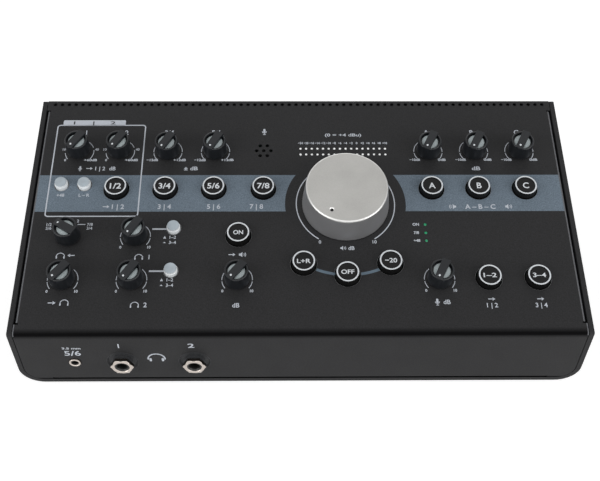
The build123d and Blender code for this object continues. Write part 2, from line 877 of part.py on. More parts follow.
# Hexagonal posts: under the cover for the control board, on the floor for the others.
with BuildPart() as board_posts:
    with BuildSketch(panel.offset(-sheet)):
        with Locations((0, (board_front + board_rear) / 2)):
            with GridLocations(
                2 * (board_half - post_inset),
                board_rear - board_front - 2 * post_inset,
                2,
                2,
            ):
                RegularPolygon(post_flats / 2, 6, major_radius=False)
    extrude(amount=-(board_drop - sheet))
    with BuildSketch(Plane.XY.offset(floor_z)):
        with Locations((0, rear_face_y - sheet - rear_board_depth / 2)):
            with GridLocations(
                2 * (rear_board_half - rear_post_inset),
                rear_board_depth - 2 * rear_post_inset,
                2,
                2,
            ):
                RegularPolygon(post_flats / 2, 6, major_radius=False)
    extrude(amount=rear_board_rise)
    with BuildSketch(Plane.XY.offset(floor_z)):
        with Locations(
            (phones_middle, phones_board_rear_y - post_inset - phones_post_pitch / 2)
        ):
            with GridLocations(
                phones_right - phones_left - 2 * post_inset, phones_post_pitch, 2, 2
            ):
                RegularPolygon(post_flats / 2, 6, major_radius=False)
    extrude(amount=phones_board_z - floor_z)
write(board_posts.part, "board_posts")

# ================================================================ front sockets
collar_front = phone_reach - nut_height


def phone_jack(name, x):
    """Headphone socket: body on its board, a collar and a bushing through the dish."""
    here = Plane((x, front_y, socket_z), (1, 0, 0), (0, -1, 0))
    jack_face = -(dish_depth + sheet)
    with BuildPart() as jack:
        with BuildSketch(here.offset(jack_face)):
            with Locations((0, phones_board_top - socket_z)):
                Rectangle(
                    jack_width,
                    2 * (socket_z - phones_board_top),
                    align=(Align.CENTER, Align.MIN),
                )
        extrude(amount=-jack_depth)
        with BuildSketch(here.offset(jack_face)):
            Circle(bushing_radius)
        extrude(amount=phone_reach - jack_face)
        with BuildSketch(here.offset(-dish_depth)):
            Circle(collar_radius)
        extrude(amount=dish_depth + collar_front)
        with BuildSketch(here.offset(phone_reach)):
            Circle(socket_bore_radius)
        extrude(amount=jack_face - phone_reach - jack_depth + sheet, mode=Mode.SUBTRACT)
        with Locations(here.offset(phone_reach).location):
            Cone(
                socket_bore_radius,
                socket_mouth_radius,
                socket_mouth_depth,
                align=(Align.CENTER, Align.CENTER, Align.MAX),
                mode=Mode.SUBTRACT,
            )
    write(jack.part, name)


for number, phone_x in enumerate(phone_places, start=1):
    phone_jack(f"phone_jack_{number}", phone_x)

# Hexagonal nuts: two on the headphone sockets, one on the volume control's bushing.
with BuildPart() as bushing_nuts:
    with BuildSketch(front.offset(collar_front)):
        with Locations(*[(x, socket_z) for x in phone_places]):
            RegularPolygon(nut_flats / 2, 6, major_radius=False)
            Circle(bushing_radius + socket_clearance, mode=Mode.SUBTRACT)
    extrude(amount=nut_height)
    with BuildSketch(volume_plane):
        RegularPolygon(volume_nut_flats / 2, 6, major_radius=False)
        Circle(volume_bushing_radius + socket_clearance, mode=Mode.SUBTRACT)
    extrude(amount=volume_nut_height)
write(bushing_nuts.part, "bushing_nuts")

with BuildPart() as stereo_in_jack:
    with BuildSketch(front.offset(-sheet)):
        with Locations((mini_place, phones_board_top)):
            Rectangle(
                mini_width,
                2 * (socket_z - phones_board_top),
                align=(Align.CENTER, Align.MIN),
            )
    extrude(amount=-mini_depth)
    with BuildSketch(front.offset(-sheet)):
        with Locations((mini_place, socket_z)):
            Circle(mini_ring_radius)
    extrude(amount=sheet + mini_reach)
    with BuildSketch(front.offset(mini_reach)):
        with Locations((mini_place, socket_z)):
            Circle(mini_bore_radius)
    extrude(amount=-(mini_reach + mini_depth), mode=Mode.SUBTRACT)
    with BuildSketch(front.offset(mini_reach)):
        with Locations((mini_place, socket_z)):
            Circle(mini_mouth_radius)
    extrude(amount=-socket_mouth_depth, mode=Mode.SUBTRACT)
write(stereo_in_jack.part, "stereo_in_jack")

# ================================================================ rear sockets
rear_board_top = rear_board_z + board_thickness
line_middle = line_lower + line_pitch / 2
line_body_top = line_lower + line_pitch + line_width / 2

with BuildPart() as line_jacks:
    with BuildSketch(rear.offset(-sheet)):
        with Locations(*[(-x, rear_board_top) for x in line_places]):
            Rectangle(
                line_width,
                line_body_top - rear_board_top,
                align=(Align.CENTER, Align.MIN),
            )
    extrude(amount=-line_depth)
    with BuildSketch(rear.offset(-sheet)):
        with Locations(*[(-x, line_middle) for x in line_places]):
            with GridLocations(0, line_pitch, 1, 2):
                Circle(line_nose_radius)
    extrude(amount=sheet + line_nose_reach)
    with BuildSketch(rear.offset(line_nose_reach)):
        with Locations(*[(-x, line_middle) for x in line_places]):
            with GridLocations(0, line_pitch, 1, 2):
                Circle(socket_bore_radius)
    extrude(amount=-(line_nose_reach + line_depth), mode=Mode.SUBTRACT)
write(line_jacks.part, "line_jacks")


def combo_input(name, x):
    """Microphone and line socket: flange outside, round body inside, foot on the board."""
    here = Plane((x, rear_face_y, combo_height), (-1, 0, 0), (0, 1, 0))
    with BuildPart() as combo:
        with BuildSketch(here):
            RectangleRounded(combo_flange_width, combo_flange_height, combo_flange_corner)
        extrude(amount=combo_flange)
        with BuildSketch(here):
            Circle(combo_radius)
        extrude(amount=-combo_depth)
        with BuildSketch(here.offset(-sheet - part_gap)):
            with Locations((0, rear_board_top - combo_height)):
                Rectangle(
                    combo_flange_width,
                    combo_height - rear_board_top,
                    align=(Align.CENTER, Align.MIN),
                )
        extrude(amount=-(combo_depth - sheet - part_gap))
        with BuildSketch(here.offset(combo_flange)):
            Circle(socket_bore_radius)
        extrude(amount=-combo_depth, mode=Mode.SUBTRACT)
        with BuildSketch(here.offset(combo_flange)):
            with PolarLocations(combo_pin_circle, 3, start_angle=combo_pin_start):
                Circle(combo_pin_radius)
        extrude(amount=-combo_depth / 2, mode=Mode.SUBTRACT)
    write(combo.part, name)


for number, combo_x in enumerate(combo_places, start=1):
    combo_input(f"combo_input_{number}", combo_x)

with BuildPart() as usb_socket:
    with BuildSketch(rear):
        with Locations((-usb_place, rear_board_top + usb_lift)):
            Rectangle(usb_width, usb_height, align=(Align.CENTER, Align.MIN))
    extrude(amount=-usb_depth)
    with BuildSketch(rear.offset(-sheet - part_gap)):
        with Locations((-usb_place, rear_board_top)):
            Rectangle(usb_width, usb_lift, align=(Align.CENTER, Align.MIN))
    extrude(amount=-(usb_depth - sheet - part_gap))
    with BuildSketch(rear):
        with Locations((-usb_place, rear_board_top + usb_lift + usb_height / 2)):
            Rectangle(usb_width - 2 * usb_wall, usb_height - 2 * usb_wall)
            Rectangle(*usb_tongue, mode=Mode.SUBTRACT)
    extrude(amount=-(usb_depth - usb_wall), mode=Mode.SUBTRACT)
write(usb_socket.part, "usb_socket")

with BuildPart() as dc_inlet:
    with BuildSketch(rear.offset(-sheet)):
        with Locations((-dc_place, rear_board_top)):
            Rectangle(dc_width, dc_height, align=(Align.CENTER, Align.MIN))
    extrude(amount=-dc_depth)
    with BuildSketch(rear.offset(-sheet)):
        with Locations((-dc_place, rear_board_top + dc_height / 2)):
            Circle(dc_bore_radius)
            Circle(dc_pin_radius, mode=Mode.SUBTRACT)
    extrude(amount=-dc_bore_depth, mode=Mode.SUBTRACT)
write(dc_inlet.part, "dc_inlet")

power_axis_z = rear_board_top + power_height / 2
with BuildPart() as power_switch:
    with BuildSketch(rear.offset(-sheet - part_gap)):
        with Locations((-power_place, rear_board_top)):
            Rectangle(power_width, power_height, align=(Align.CENTER, Align.MIN))
    extrude(amount=-power_depth)
    with BuildSketch(rear.offset(-sheet - part_gap)):
        with Locations((-power_place, power_axis_z)):
            Rectangle(power_cap + 2 * power_clearance, power_cap + 2 * power_clearance)
    extrude(amount=-power_depth / 2, mode=Mode.SUBTRACT)
write(power_switch.part, "power_switch")

with BuildPart() as power_button:
    with BuildSketch(rear.offset(power_cap_reach)):
        with Locations((-power_place, power_axis_z)):
            Rectangle(power_cap, power_cap)
    extrude(amount=-(power_cap_reach + sheet + power_depth / 2 - power_travel))
    outer_edges = power_button.faces().sort_by(Axis.Y)[-1].edges()
    chamfer(outer_edges, power_chamfer)
write(power_button.part, "power_button")
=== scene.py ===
import json
import math

import bmesh
import bpy
from mathutils import Matrix, Vector
from mathutils.geometry import delaunay_2d_cdt


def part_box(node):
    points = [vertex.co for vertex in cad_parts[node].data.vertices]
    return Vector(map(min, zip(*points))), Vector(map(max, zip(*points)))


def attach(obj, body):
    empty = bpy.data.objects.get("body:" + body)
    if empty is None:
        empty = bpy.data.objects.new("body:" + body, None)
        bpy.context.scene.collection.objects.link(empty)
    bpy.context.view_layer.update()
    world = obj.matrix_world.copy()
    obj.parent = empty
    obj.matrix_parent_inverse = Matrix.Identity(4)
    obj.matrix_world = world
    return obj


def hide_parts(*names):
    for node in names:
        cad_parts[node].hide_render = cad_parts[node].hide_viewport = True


# A desktop studio monitor controller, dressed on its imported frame.
# Sizes are millimetres unless a name says otherwise; MM turns them into metres.
# Places on the sloping top are (x, s): x from the middle, s up the slope from the
# front fold. Heights are above the sloping top.

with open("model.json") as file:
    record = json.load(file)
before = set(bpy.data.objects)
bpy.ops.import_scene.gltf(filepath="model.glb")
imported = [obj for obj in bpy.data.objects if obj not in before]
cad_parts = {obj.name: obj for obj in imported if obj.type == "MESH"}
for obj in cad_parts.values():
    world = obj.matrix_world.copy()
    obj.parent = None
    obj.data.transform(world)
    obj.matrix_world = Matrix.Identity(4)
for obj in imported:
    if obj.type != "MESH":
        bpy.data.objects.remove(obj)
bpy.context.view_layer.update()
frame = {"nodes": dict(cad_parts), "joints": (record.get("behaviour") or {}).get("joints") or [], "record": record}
nodes = frame["nodes"]
joints = {joint["name"]: joint for joint in frame["joints"]}
scene = bpy.context.scene
MM = 0.001

# ---- sizes: case
cover_half = 182.8
cover_corner = 11.5  # lower corners of the front face
sheet = 1.2
front_fold_radius = 2.4
rear_fold_radius = 1.2
flange_radius = 1.3
flange_depth = 12.0
flange_inset = 0.9  # flanges stand this far inside the edge of the sheet
front_flange_radius = 0.6
front_flange_inset = 1.1
relief = 1.3
side_slot_front = 7.3
side_slot_rear = 178.0
front_slot_half = 166.0
top_length = 187.4
cover_bottom = 6.4  # above the surface that the controller stands on
lip_height = 12.0
edge_chamfer = 0.22
corner_light = 0.7  # width of the painted highlight beside the fold's two ends
fold_shade = 4.4  # painted shade darkens the paint this near the front fold
vent_from_rear = 3.9
vent_pitch = 5.0
vent_count = 72
vent_radius = 1.3

# ---- sizes: front
phone_places = (-116.8, -69.7)
mini_place = -148.0
socket_drop = 30.0
dish_steps = ((10.7, 0.0), (10.3, 0.2), (9.3, 1.35), (8.8, 1.5))  # (radius, depth)
bushing_hole = 4.9
mini_hole = 4.0

# ---- sizes: controls
volume_place = (30.9, 97.8)
volume_turn = 150.0
band_front = 91.6
band_rear = 121.4
band_gap_radius = 41.4
key_hole = 8.8
button_hole = 4.95
meter_first = (0.5, 144.1)
meter_pitch = 4.0
meter_columns = 16
meter_row_pitch = 5.0
meter_places = [
    (meter_first[0] + column * meter_pitch, meter_first[1] - row * meter_row_pitch)
    for column in range(meter_columns)
    for row in range(2)
]
lamp_hole = 0.9
status_hole = 1.1
mic_place = (-25.5, 142.4)
mic_pitch = 5.0
mic_row = 4.25
mic_hole = 1.3
ink_height = 0.03
ink_depth = 0.01
rounding_steps = 4  # of the rounded corners of turned shapes

# ---- frame of the sloping top
volume_joint = joints["volume_turn"]
across = Vector((1, 0, 0))
panel_out = -Vector(volume_joint["axis"]).normalized()
up_slope = panel_out.cross(across)
panel_origin = (
    Vector(volume_joint["pos_m"])
    - volume_place[0] * MM * across
    - volume_place[1] * MM * up_slope
)
front_y = panel_origin.y / MM
fold_z = panel_origin.z / MM
slope = math.atan2(up_slope.z, up_slope.y)
socket_z = fold_z - socket_drop
rear_y = front_y + top_length * math.cos(slope)
rear_top_z = fold_z + top_length * math.sin(slope)


def frame_at(origin, x_axis, z_axis):
    """Matrix from a local frame in millimetres to the row frame in metres."""
    y_axis = z_axis.cross(x_axis)
    basis = Matrix((x_axis, y_axis, z_axis)).transposed().to_4x4()
    return Matrix.Translation(origin) @ basis @ Matrix.Scale(MM, 4)


def on_panel(x, s, turn=0.0):
    """Local frame on the sloping top, turned anticlockwise in degrees."""
    origin = panel_origin + MM * (x * across + s * up_slope)
    return frame_at(origin, across, panel_out) @ Matrix.Rotation(math.radians(turn), 4, "Z")


def on_front(x, z):
    """Local frame on the front face, looking out to the front."""
    return frame_at(Vector((x, front_y, z)) * MM, across, Vector((0, -1, 0)))


def on_rear(x, y, z):
    """Local frame at the back, looking out to the rear."""
    return frame_at(Vector((x, y, z)) * MM, -across, Vector((0, 1, 0)))


def place_of(joint_name):
    """(x, s) of a joint on the sloping top."""
    offset = Vector(joints[joint_name]["pos_m"]) - panel_origin
    return offset.dot(across) / MM, offset.dot(up_slope) / MM


def middle_of(node):
    """(x, s) of the middle of a CAD node on the sloping top."""
    points = [v.co for v in nodes[node].data.vertices]
    xs = [(p - panel_origin).dot(across) / MM for p in points]
    ss = [(p - panel_origin).dot(up_slope) / MM for p in points]
    return (min(xs) + max(xs)) / 2, (min(ss) + max(ss)) / 2


# ======== materials
def fill(tree, node, inputs):
    """Sets a node's inputs: a number, a colour, a vector or another node's output."""
    for key, value in inputs.items():
        socket = node.inputs[key]
        if isinstance(value, bpy.types.NodeSocket):
            tree.links.new(value, socket)
        else:
            socket.default_value = (*value, 1) if socket.type == "RGBA" else value


def new_node(tree, kind, inputs=None, **settings):
    """New node with its own settings and its inputs."""
    made = tree.nodes.new(kind)
    for key, value in settings.items():
        setattr(made, key, value)
    fill(tree, made, inputs or {})
    return made


class Shader:
    """Builds one node material, a step at a time."""

    def __init__(self, name):
        self.material = bpy.data.materials.new(name)
        self.material.use_nodes = True
        self.tree = self.material.node_tree
        self.surface = self.tree.nodes["Principled BSDF"]
        self.coords = self.node("ShaderNodeTexCoord").outputs["Object"]

    def node(self, kind, inputs=None, **settings):
        return new_node(self.tree, kind, inputs, **settings)

    def noise(self, scale, detail, roughness, stretch=None):
        """Noise with features of about 1/scale metres, stretched along an axis if asked."""
        inputs = {"Scale": scale, "Detail": detail, "Roughness": roughness, "Vector": self.coords}
        if stretch:
            mapping = self.node("ShaderNodeMapping", {"Scale": stretch, "Vector": self.coords})
            inputs["Vector"] = mapping.outputs["Vector"]
        return self.node("ShaderNodeTexNoise", inputs).outputs["Fac"]

    def spread(self, value, low, high, start=0.3, end=0.7):
        """Maps a noise value from start..end onto low..high."""
        inputs = {"Value": value, "From Min": start, "From Max": end, "To Min": low, "To Max": high}
        return self.node("ShaderNodeMapRange", inputs).outputs["Result"]

    def tint(self, value, low, high, start=0.3, end=0.7):
        """Colours from low to high as a noise value goes from start to end."""
        ramp = self.node("ShaderNodeValToRGB", {"Fac": value})
        first, last = ramp.color_ramp.elements
        first.position, last.position = start, end
        first.color, last.color = (*low, 1), (*high, 1)
        return ramp.outputs["Color"]

    def tones(self, value, colour, low, high):
        """One colour, from low times to high times as bright, as a noise value goes up."""
        darker, lighter = (tuple(part * share for part in colour) for share in (low, high))
        return self.tint(value, darker, lighter)

    def bump(self, value, height, normal=None):
        """Bump of that height in millimetres, on top of another one if asked."""
        inputs = {"Strength": 1.0, "Distance": height * MM, "Height": value}
        if normal:
            inputs["Normal"] = normal
        return self.node("ShaderNodeBump", inputs).outputs["Normal"]

    def set(self, **values):
        """Sets the surface's own inputs, named with _ for a space."""
        inputs = {key.replace("_", " "): value for key, value in values.items()}
        fill(self.tree, self.surface, inputs)
        return self


def grey(level):
    """Linear colour of a neutral sRGB level from 0 to 255."""
    share = level / 255
    linear = share / 12.92 if share <= 0.04045 else ((share + 0.055) / 1.055) ** 2.4
    return (linear, linear, linear)


def srgb(red, green, blue):
    """Linear colour of an sRGB triple."""
    return tuple(grey(level)[0] for level in (red, green, blue))


def coat(name, colour, grain=0.010, roughness=0.5, specular=0.16):
    """Satin powder coat: fine orange peel, a little unevenness in colour and gloss."""
    shade = Shader(name)
    fine = shade.noise(1500, 3.0, 0.6)
    broad = shade.noise(45, 3.0, 0.5)
    peel = shade.noise(900, 2.0, 0.5)
    return shade.set(
        Base_Color=shade.tones(fine, colour, 0.7, 1.34),
        Roughness=shade.spread(broad, roughness - 0.04, roughness + 0.05),
        Normal=shade.bump(peel, grain, shade.bump(fine, grain * 0.6)),
        Specular_IOR_Level=specular,
    )


def powder_coat(*look, **finish):
    """Material of a plain powder coat."""
    return coat(*look, **finish).material


def fold_coat(name, colour):
    """Powder coat darkened towards the front fold by painted shade, as a bend in a dark room looks dark."""
    shade = coat(name, colour)
    flat = shade.node("ShaderNodeVectorMath", {0: shade.coords, 1: (0, 1, 1)}, operation="MULTIPLY")
    bend = (0, (front_y + 0.4) * MM, (fold_z - 0.4) * MM)
    inputs = {0: flat.outputs[0], 1: bend}
    away = shade.node("ShaderNodeVectorMath", inputs, operation="DISTANCE")
    share = shade.spread(away.outputs["Value"], 0.0, 1.0, 0.7 * MM, fold_shade * MM)
    plain = shade.surface.inputs["Base Color"].links[0].from_socket
    dark = tuple(part * 0.25 for part in colour)
    inputs = {"Factor": share, "A": dark, "B": plain}
    mixed = shade.node("ShaderNodeMix", inputs, data_type="RGBA")
    gloss = shade.spread(share, 0.0, 0.12, 0.0, 1.0)
    return shade.set(Base_Color=mixed.outputs["Result"], Specular_IOR_Level=gloss).material


def moulded(name, colour, roughness, grain, specular, fine_scale=1800):
    """Moulded plastic with a fine spark-eroded grain."""
    shade = Shader(name)
    fine = shade.noise(fine_scale, 3.0, 0.6)
    broad = shade.noise(120, 2.0, 0.5)
    return shade.set(
        Base_Color=shade.tones(broad, colour, 0.88, 1.12),
        Roughness=shade.spread(fine, roughness - 0.06, roughness + 0.06),
        Normal=shade.bump(fine, grain),
        Specular_IOR_Level=specular,
    ).material


def metal(name, colour, roughness, grain, fine_scale, metallic=1.0, turned=0.0):
    """Metal with a fine finish; less metallic is a blasted face that scatters light.

    turned is how strongly fine grooves round an upright axis stretch its highlights.
    """
    shade = Shader(name)
    fine = shade.noise(fine_scale, 4.0, 0.65)
    broad = shade.noise(60, 2.0, 0.5)
    shade.set(
        Base_Color=shade.tones(broad, colour, 0.95, 1.04),
        Roughness=shade.spread(fine, roughness * 0.8, roughness * 1.2),
        Normal=shade.bump(fine, grain),
        Metallic=metallic,
    )
    if turned:
        grooves = shade.node("ShaderNodeTangent", direction_type="RADIAL", axis="Z")
        shade.set(Anisotropic=turned, Tangent=grooves.outputs["Tangent"])
    return shade.material


def printed(name, colour):
    """Screen-printed ink, very slightly uneven in cover."""
    shade = Shader(name)
    cover = shade.noise(1400, 3.0, 0.6)
    return shade.set(
        Base_Color=shade.tones(cover, colour, 0.9, 1.05),
        Roughness=shade.spread(cover, 0.5, 0.63),
        Normal=shade.bump(cover, 0.003),
        Specular_IOR_Level=0.35,
    ).material


def board_material(name):
    """Green circuit board: solder mask over a faint glass weave."""
    shade = Shader(name)
    weave = shade.noise(900, 2.0, 0.5, (1, 0.12, 1))
    tracks = shade.noise(260, 1.0, 0.4)
    return shade.set(
        Base_Color=shade.tint(tracks, (0.008, 0.06, 0.025), (0.015, 0.1, 0.04), 0.45, 0.52),
        Roughness=shade.spread(weave, 0.3, 0.42),
        Normal=shade.bump(weave, 0.01),
    ).material


case_paint = powder_coat("case_paint_coat", srgb(40, 40, 41), specular=0.12)
# Painted shade: the coat darkens, and loses gloss, towards the front fold.
front_fold_paint = fold_coat("case_paint_front_fold_painted_shade", srgb(40, 40, 41))
# Painted highlight: lighter paint on the side bends and beside the front fold's two ends.
edge_highlight_paint = powder_coat("case_paint_thin_edge", srgb(94, 95, 98), specular=0.2)
shade_paint = powder_coat("case_paint_under_edge", srgb(16, 16, 17), specular=0.02)
# Painted highlight: lighter paint on the rear fold and its lip.
rear_fold_highlight_paint = powder_coat("case_paint_rear_edge", srgb(70, 71, 73), specular=0.15)
# Painted light: lighter paint in the dishes and on the socket collars, against the shade in these recesses.
dish_lightened_paint = powder_coat("case_paint_in_dish", srgb(54, 55, 57), specular=0.2)
# Painted highlight: bright paint on the bevelled rims of key and button holes.
hole_rim_highlight_paint = powder_coat("case_paint_hole_edge", srgb(150, 151, 153), specular=0.2)
band_paint = powder_coat("band_print", srgb(102, 114, 125), 0.008, 0.46, 0.12)
rear_paint = powder_coat("rear_paint_coat", srgb(34, 34, 36), 0.010, 0.5)
white_ink = printed("white_ink", srgb(186, 191, 199))
legend_ink = printed("legend_ink", srgb(212, 216, 220))
blue_ink = printed("blue_ink", srgb(92, 108, 121))
dark_ink = printed("dark_ink", grey(40))
rubber = moulded("rubber_grain", grey(18), 0.85, 0.02, 0.1, 900)
# Painted shade: near-black strip that fills the front slot in place of its shadow.
slot_shadow_black = moulded("slot_shadow_black_grain", grey(4), 0.9, 0.02, 0.0, 900)
knob_plastic = moulded("knob_black_grain", srgb(25, 27, 30), 0.34, 0.005, 0.32)
insert_plastic = moulded("insert_grey", srgb(172, 182, 184), 0.3, 0.003, 0.4)
key_plastic = moulded("key_black_grain", grey(14), 0.35, 0.003, 0.2)
cap_plastic = moulded("cap_grey_grain", srgb(166, 176, 183), 0.38, 0.004, 0.3)
# White of the buttons' flanges, and a painted highlight on the caps' sides.
cap_flange_and_highlight_plastic = moulded("cap_flange_and_side_highlight_grain", srgb(226, 230, 232), 0.38, 0.004, 0.4)
socket_plastic = moulded("socket_black_grain", grey(20), 0.4, 0.006, 0.4)
component_plastic = moulded("component_grain", grey(52), 0.5, 0.01, 0.4)
lamp_plastic = moulded("meter_lens_white", srgb(252, 253, 253), 0.3, 0.002, 0.5)
status_plastic = moulded("status_lens_green", srgb(0, 140, 92), 0.25, 0.002, 0.5)
turned_metal = metal("turned_aluminium_face", srgb(172, 171, 168), 0.6, 0.016, 1400, 0.6)
turned_side = metal("turned_aluminium_side", srgb(172, 172, 174), 0.45, 0.004, 2600, 0.7, 0.6)
bevel_metal = metal("turned_aluminium_bevel", srgb(192, 192, 190), 0.4, 0.001, 3000)
nickel = metal("nickel_plate", srgb(190, 181, 174), 0.26, 0.002, 1500)
# Painted shade: darker nickel on the nuts' flats and bores.
nickel_shaded_flats = metal("nickel_plate_flats_painted_shade", srgb(70, 66, 63), 0.35, 0.002, 1500)
steel = metal("steel_turned", grey(175), 0.35, 0.004, 2000)
mic_metal = moulded("mic_capsule_cloth", grey(12), 0.9, 0.02, 0.1, 2500)
screw_metal = metal("screw_black", grey(60), 0.4, 0.006, 1500)
board = board_material("board_green_mask")

node_materials = {
    "case_paint": case_paint, "rear_paint": rear_paint, "rubber": rubber,
    "turned_aluminium": turned_metal, "steel": steel, "nickel": nickel,
    "knob_black": knob_plastic, "key_black": key_plastic, "cap_grey": cap_plastic,
    "socket_black": socket_plastic, "component": component_plastic, "board_green": board,
    "meter_lens": lamp_plastic, "status_lens": status_plastic, "mic_metal": mic_metal,
}
for subpart in frame["record"]["subparts"]:
    for material_slot in nodes[subpart["node"]].material_slots:
        material_slot.material = node_materials[subpart["material_slot"]]


# ======== mesh tools
def piece(name, mesh_builder, body, materials, sharp=32.0):
    """Turns a bmesh into a piece that rides on a body."""
    mesh = bpy.data.meshes.new(name)
    mesh_builder.to_mesh(mesh)
    mesh_builder.free()
    for material in materials:
        mesh.materials.append(material)
    mesh.shade_smooth()
    mesh.set_sharp_from_angle(angle=math.radians(sharp))
    made = bpy.data.objects.new(name, mesh)
    scene.collection.objects.link(made)
    normals = made.modifiers.new("weighted_normals", "WEIGHTED_NORMAL")
    normals.keep_sharp = True
    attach(made, body)
    return made


def rounded(*corners):
    """Profile through (radius, height) corners; a third number rounds that corner."""
    out = []
    for index, corner in enumerate(corners):
        if len(corner) == 2:
            out.append(corner)
            continue
        here = Vector(corner[:2])
        before = here + corner[2] * (Vector(corners[index - 1][:2]) - here).normalized()
        after = here + corner[2] * (Vector(corners[index + 1][:2]) - here).normalized()
        for k in range(rounding_steps + 1):
            t = k / rounding_steps
            out.append(tuple((1 - t) ** 2 * before + 2 * t * (1 - t) * here + t * t * after))
    return out


def circle(x, y, radius, steps):
    """Points round a circle."""
    turns = [math.tau * k / steps for k in range(steps)]
    return [(x + radius * math.cos(turn), y + radius * math.sin(turn)) for turn in turns]


def ring_at(builder, outline, height, matrix):
    """New corners round an outline at a height."""
    return [builder.verts.new(matrix @ Vector((x, y, height))) for x, y in outline]


def skin(builder, rings, paints=None, closed=False):
    """Joins each ring of corners to the next, and the last to the first when closed.

    A ring may be a single point. paints holds each band's material number.
    """
    for number, (low, high) in enumerate(zip(rings, rings[1:] + rings[:1] * closed)):
        count = max(len(low), len(high))
        for k in range(count if count > 1 else 0):
            after = (k + 1) % count
            corners = [low[k % len(low)], low[after % len(low)]]
            corners += [high[after % len(high)], high[k % len(high)]]
            face = builder.faces.new(list(dict.fromkeys(corners)))
            face.material_index = paints[number] if paints else 0


def cap_ends(builder, rings):
    """Closes the first and the last ring with a face."""
    builder.faces.new(rings[0][::-1])
    builder.faces.new(rings[-1])


def lathe(builder, profile, matrix, steps, paints=None):
    """Turns a (radius, height) profile about the local axis, upwards on the outside."""
    rings = []
    for radius, height in profile:
        outline = circle(0, 0, radius, steps) if radius > 0 else [(0, 0)]
        rings.append(ring_at(builder, outline, height, matrix))
    skin(builder, rings, paints)


def painted_above(height, profile):
    """Material numbers of a profile's bands: 1 above that height, else 0."""
    return [int(min(low, high) > height) for (_, low), (_, high) in zip(profile, profile[1:])]


def prism(builder, outline, low, high, matrix):
    """Straight prism on a plan outline, anticlockwise seen from above."""
    rings = [ring_at(builder, outline, height, matrix) for height in (low, high)]
    cap_ends(builder, rings)
    skin(builder, rings)


# ======== cover: one bent, pierced sheet
class Path:
    """Side view of the bent sheet, as straight runs and bends, by length along its outside."""

    def __init__(self, corners, radii):
        self.runs = []
        self.length = 0.0
        here = Vector(corners[0])
        for index, corner in enumerate(corners[1:]):
            corner = Vector(corner)
            heading = corner - here
            angle = math.atan2(heading.y, heading.x)
            cut = turn = 0.0
            if index < len(radii):
                onward = Vector(corners[index + 2]) - corner
                turn = (angle - math.atan2(onward.y, onward.x)) % math.tau
                cut = radii[index] * math.tan(turn / 2)
            self.add(heading.length - cut, here, angle, 0.0)
            here = corner - heading.normalized() * cut
            if turn:
                self.add(radii[index] * turn, here, angle, radii[index])
                here = self.at(self.length)[0]

    def add(self, length, start, angle, radius):
        self.runs.append((self.length, length, Vector(start), angle, radius))
        self.length += length

    def at(self, t):
        """(place, heading angle) at a length along the path."""
        for start_t, length, start, angle, radius in reversed(self.runs):
            if t >= start_t - 1e-9:
                break
        ahead = t - start_t
        if not radius:
            return start + ahead * Vector((math.cos(angle), math.sin(angle))), angle
        turned = angle - ahead / radius
        centre = start - radius * Vector((-math.sin(angle), math.cos(angle)))
        return centre + radius * Vector((-math.sin(turned), math.cos(turned))), turned


flange_foot = cover_bottom + front_flange_inset
cover_path = Path(
    [
        (front_y + flange_depth, flange_foot), (front_y, flange_foot), (front_y, fold_z),
        (rear_y, rear_top_z), (rear_y, rear_top_z - lip_height),
    ],
    [front_flange_radius, front_fold_radius, rear_fold_radius],
)
runs = cover_path.runs  # flange, bend, front, fold, top, fold, lip
front_start, front_length = runs[2][:2]
top_start = runs[4][0]
first_s = front_fold_radius * math.tan((math.pi / 2 - slope) / 2)
side_bend = cover_half - flange_inset - flange_radius
side_reach = side_bend + flange_radius * math.pi / 2 + flange_depth - flange_radius


def t_of_s(s):
    return top_start + s - first_s


def t_of_z(z):
    return front_start + z - (flange_foot + front_flange_radius)


# along the sheet: ends of the side slots, and of the side flanges between them
slot_front_t, slot_rear_t = t_of_s(side_slot_front), t_of_s(side_slot_rear)
flange_front_t, flange_rear_t = slot_front_t + relief, slot_rear_t - relief
dishes = [(x, t_of_z(socket_z)) for x in phone_places]


def dish_sink(u, t):
    """How far the pressed dishes sink the sheet at a place."""
    for dish_x, dish_t in dishes:
        away = math.hypot(u - dish_x, t - dish_t)
        if away >= dish_steps[0][0]:
            continue
        for (outer, shallow), (inner, deep) in zip(dish_steps, dish_steps[1:]):
            if away >= inner:
                return shallow + (deep - shallow) * (outer - away) / (outer - inner)
        return dish_steps[-1][1]
    return 0.0


def sheet_point(u, t, depth):
    """Place of a point of the bent sheet, in the row frame."""
    depth += dish_sink(u, t)
    if abs(u) > front_slot_half - relief / 2 and t < front_start:  # the flat lower corners
        (y, z), angle = cover_path.at(front_start)
        z -= front_start - t
    else:
        (y, z), angle = cover_path.at(t)
    x = u
    if abs(u) > side_bend and flange_front_t - 0.01 < t < flange_rear_t + 0.01:
        past = abs(u) - side_bend
        turn = min(past / flange_radius, math.pi / 2)
        down = max(0.0, past - flange_radius * math.pi / 2)
        radius = flange_radius - depth
        x = math.copysign(side_bend + radius * math.sin(turn), u)
        depth = flange_radius - radius * math.cos(turn) + down
    y -= depth * -math.sin(angle)
    z -= depth * math.cos(angle)
    return Vector((x, y, z)) * MM


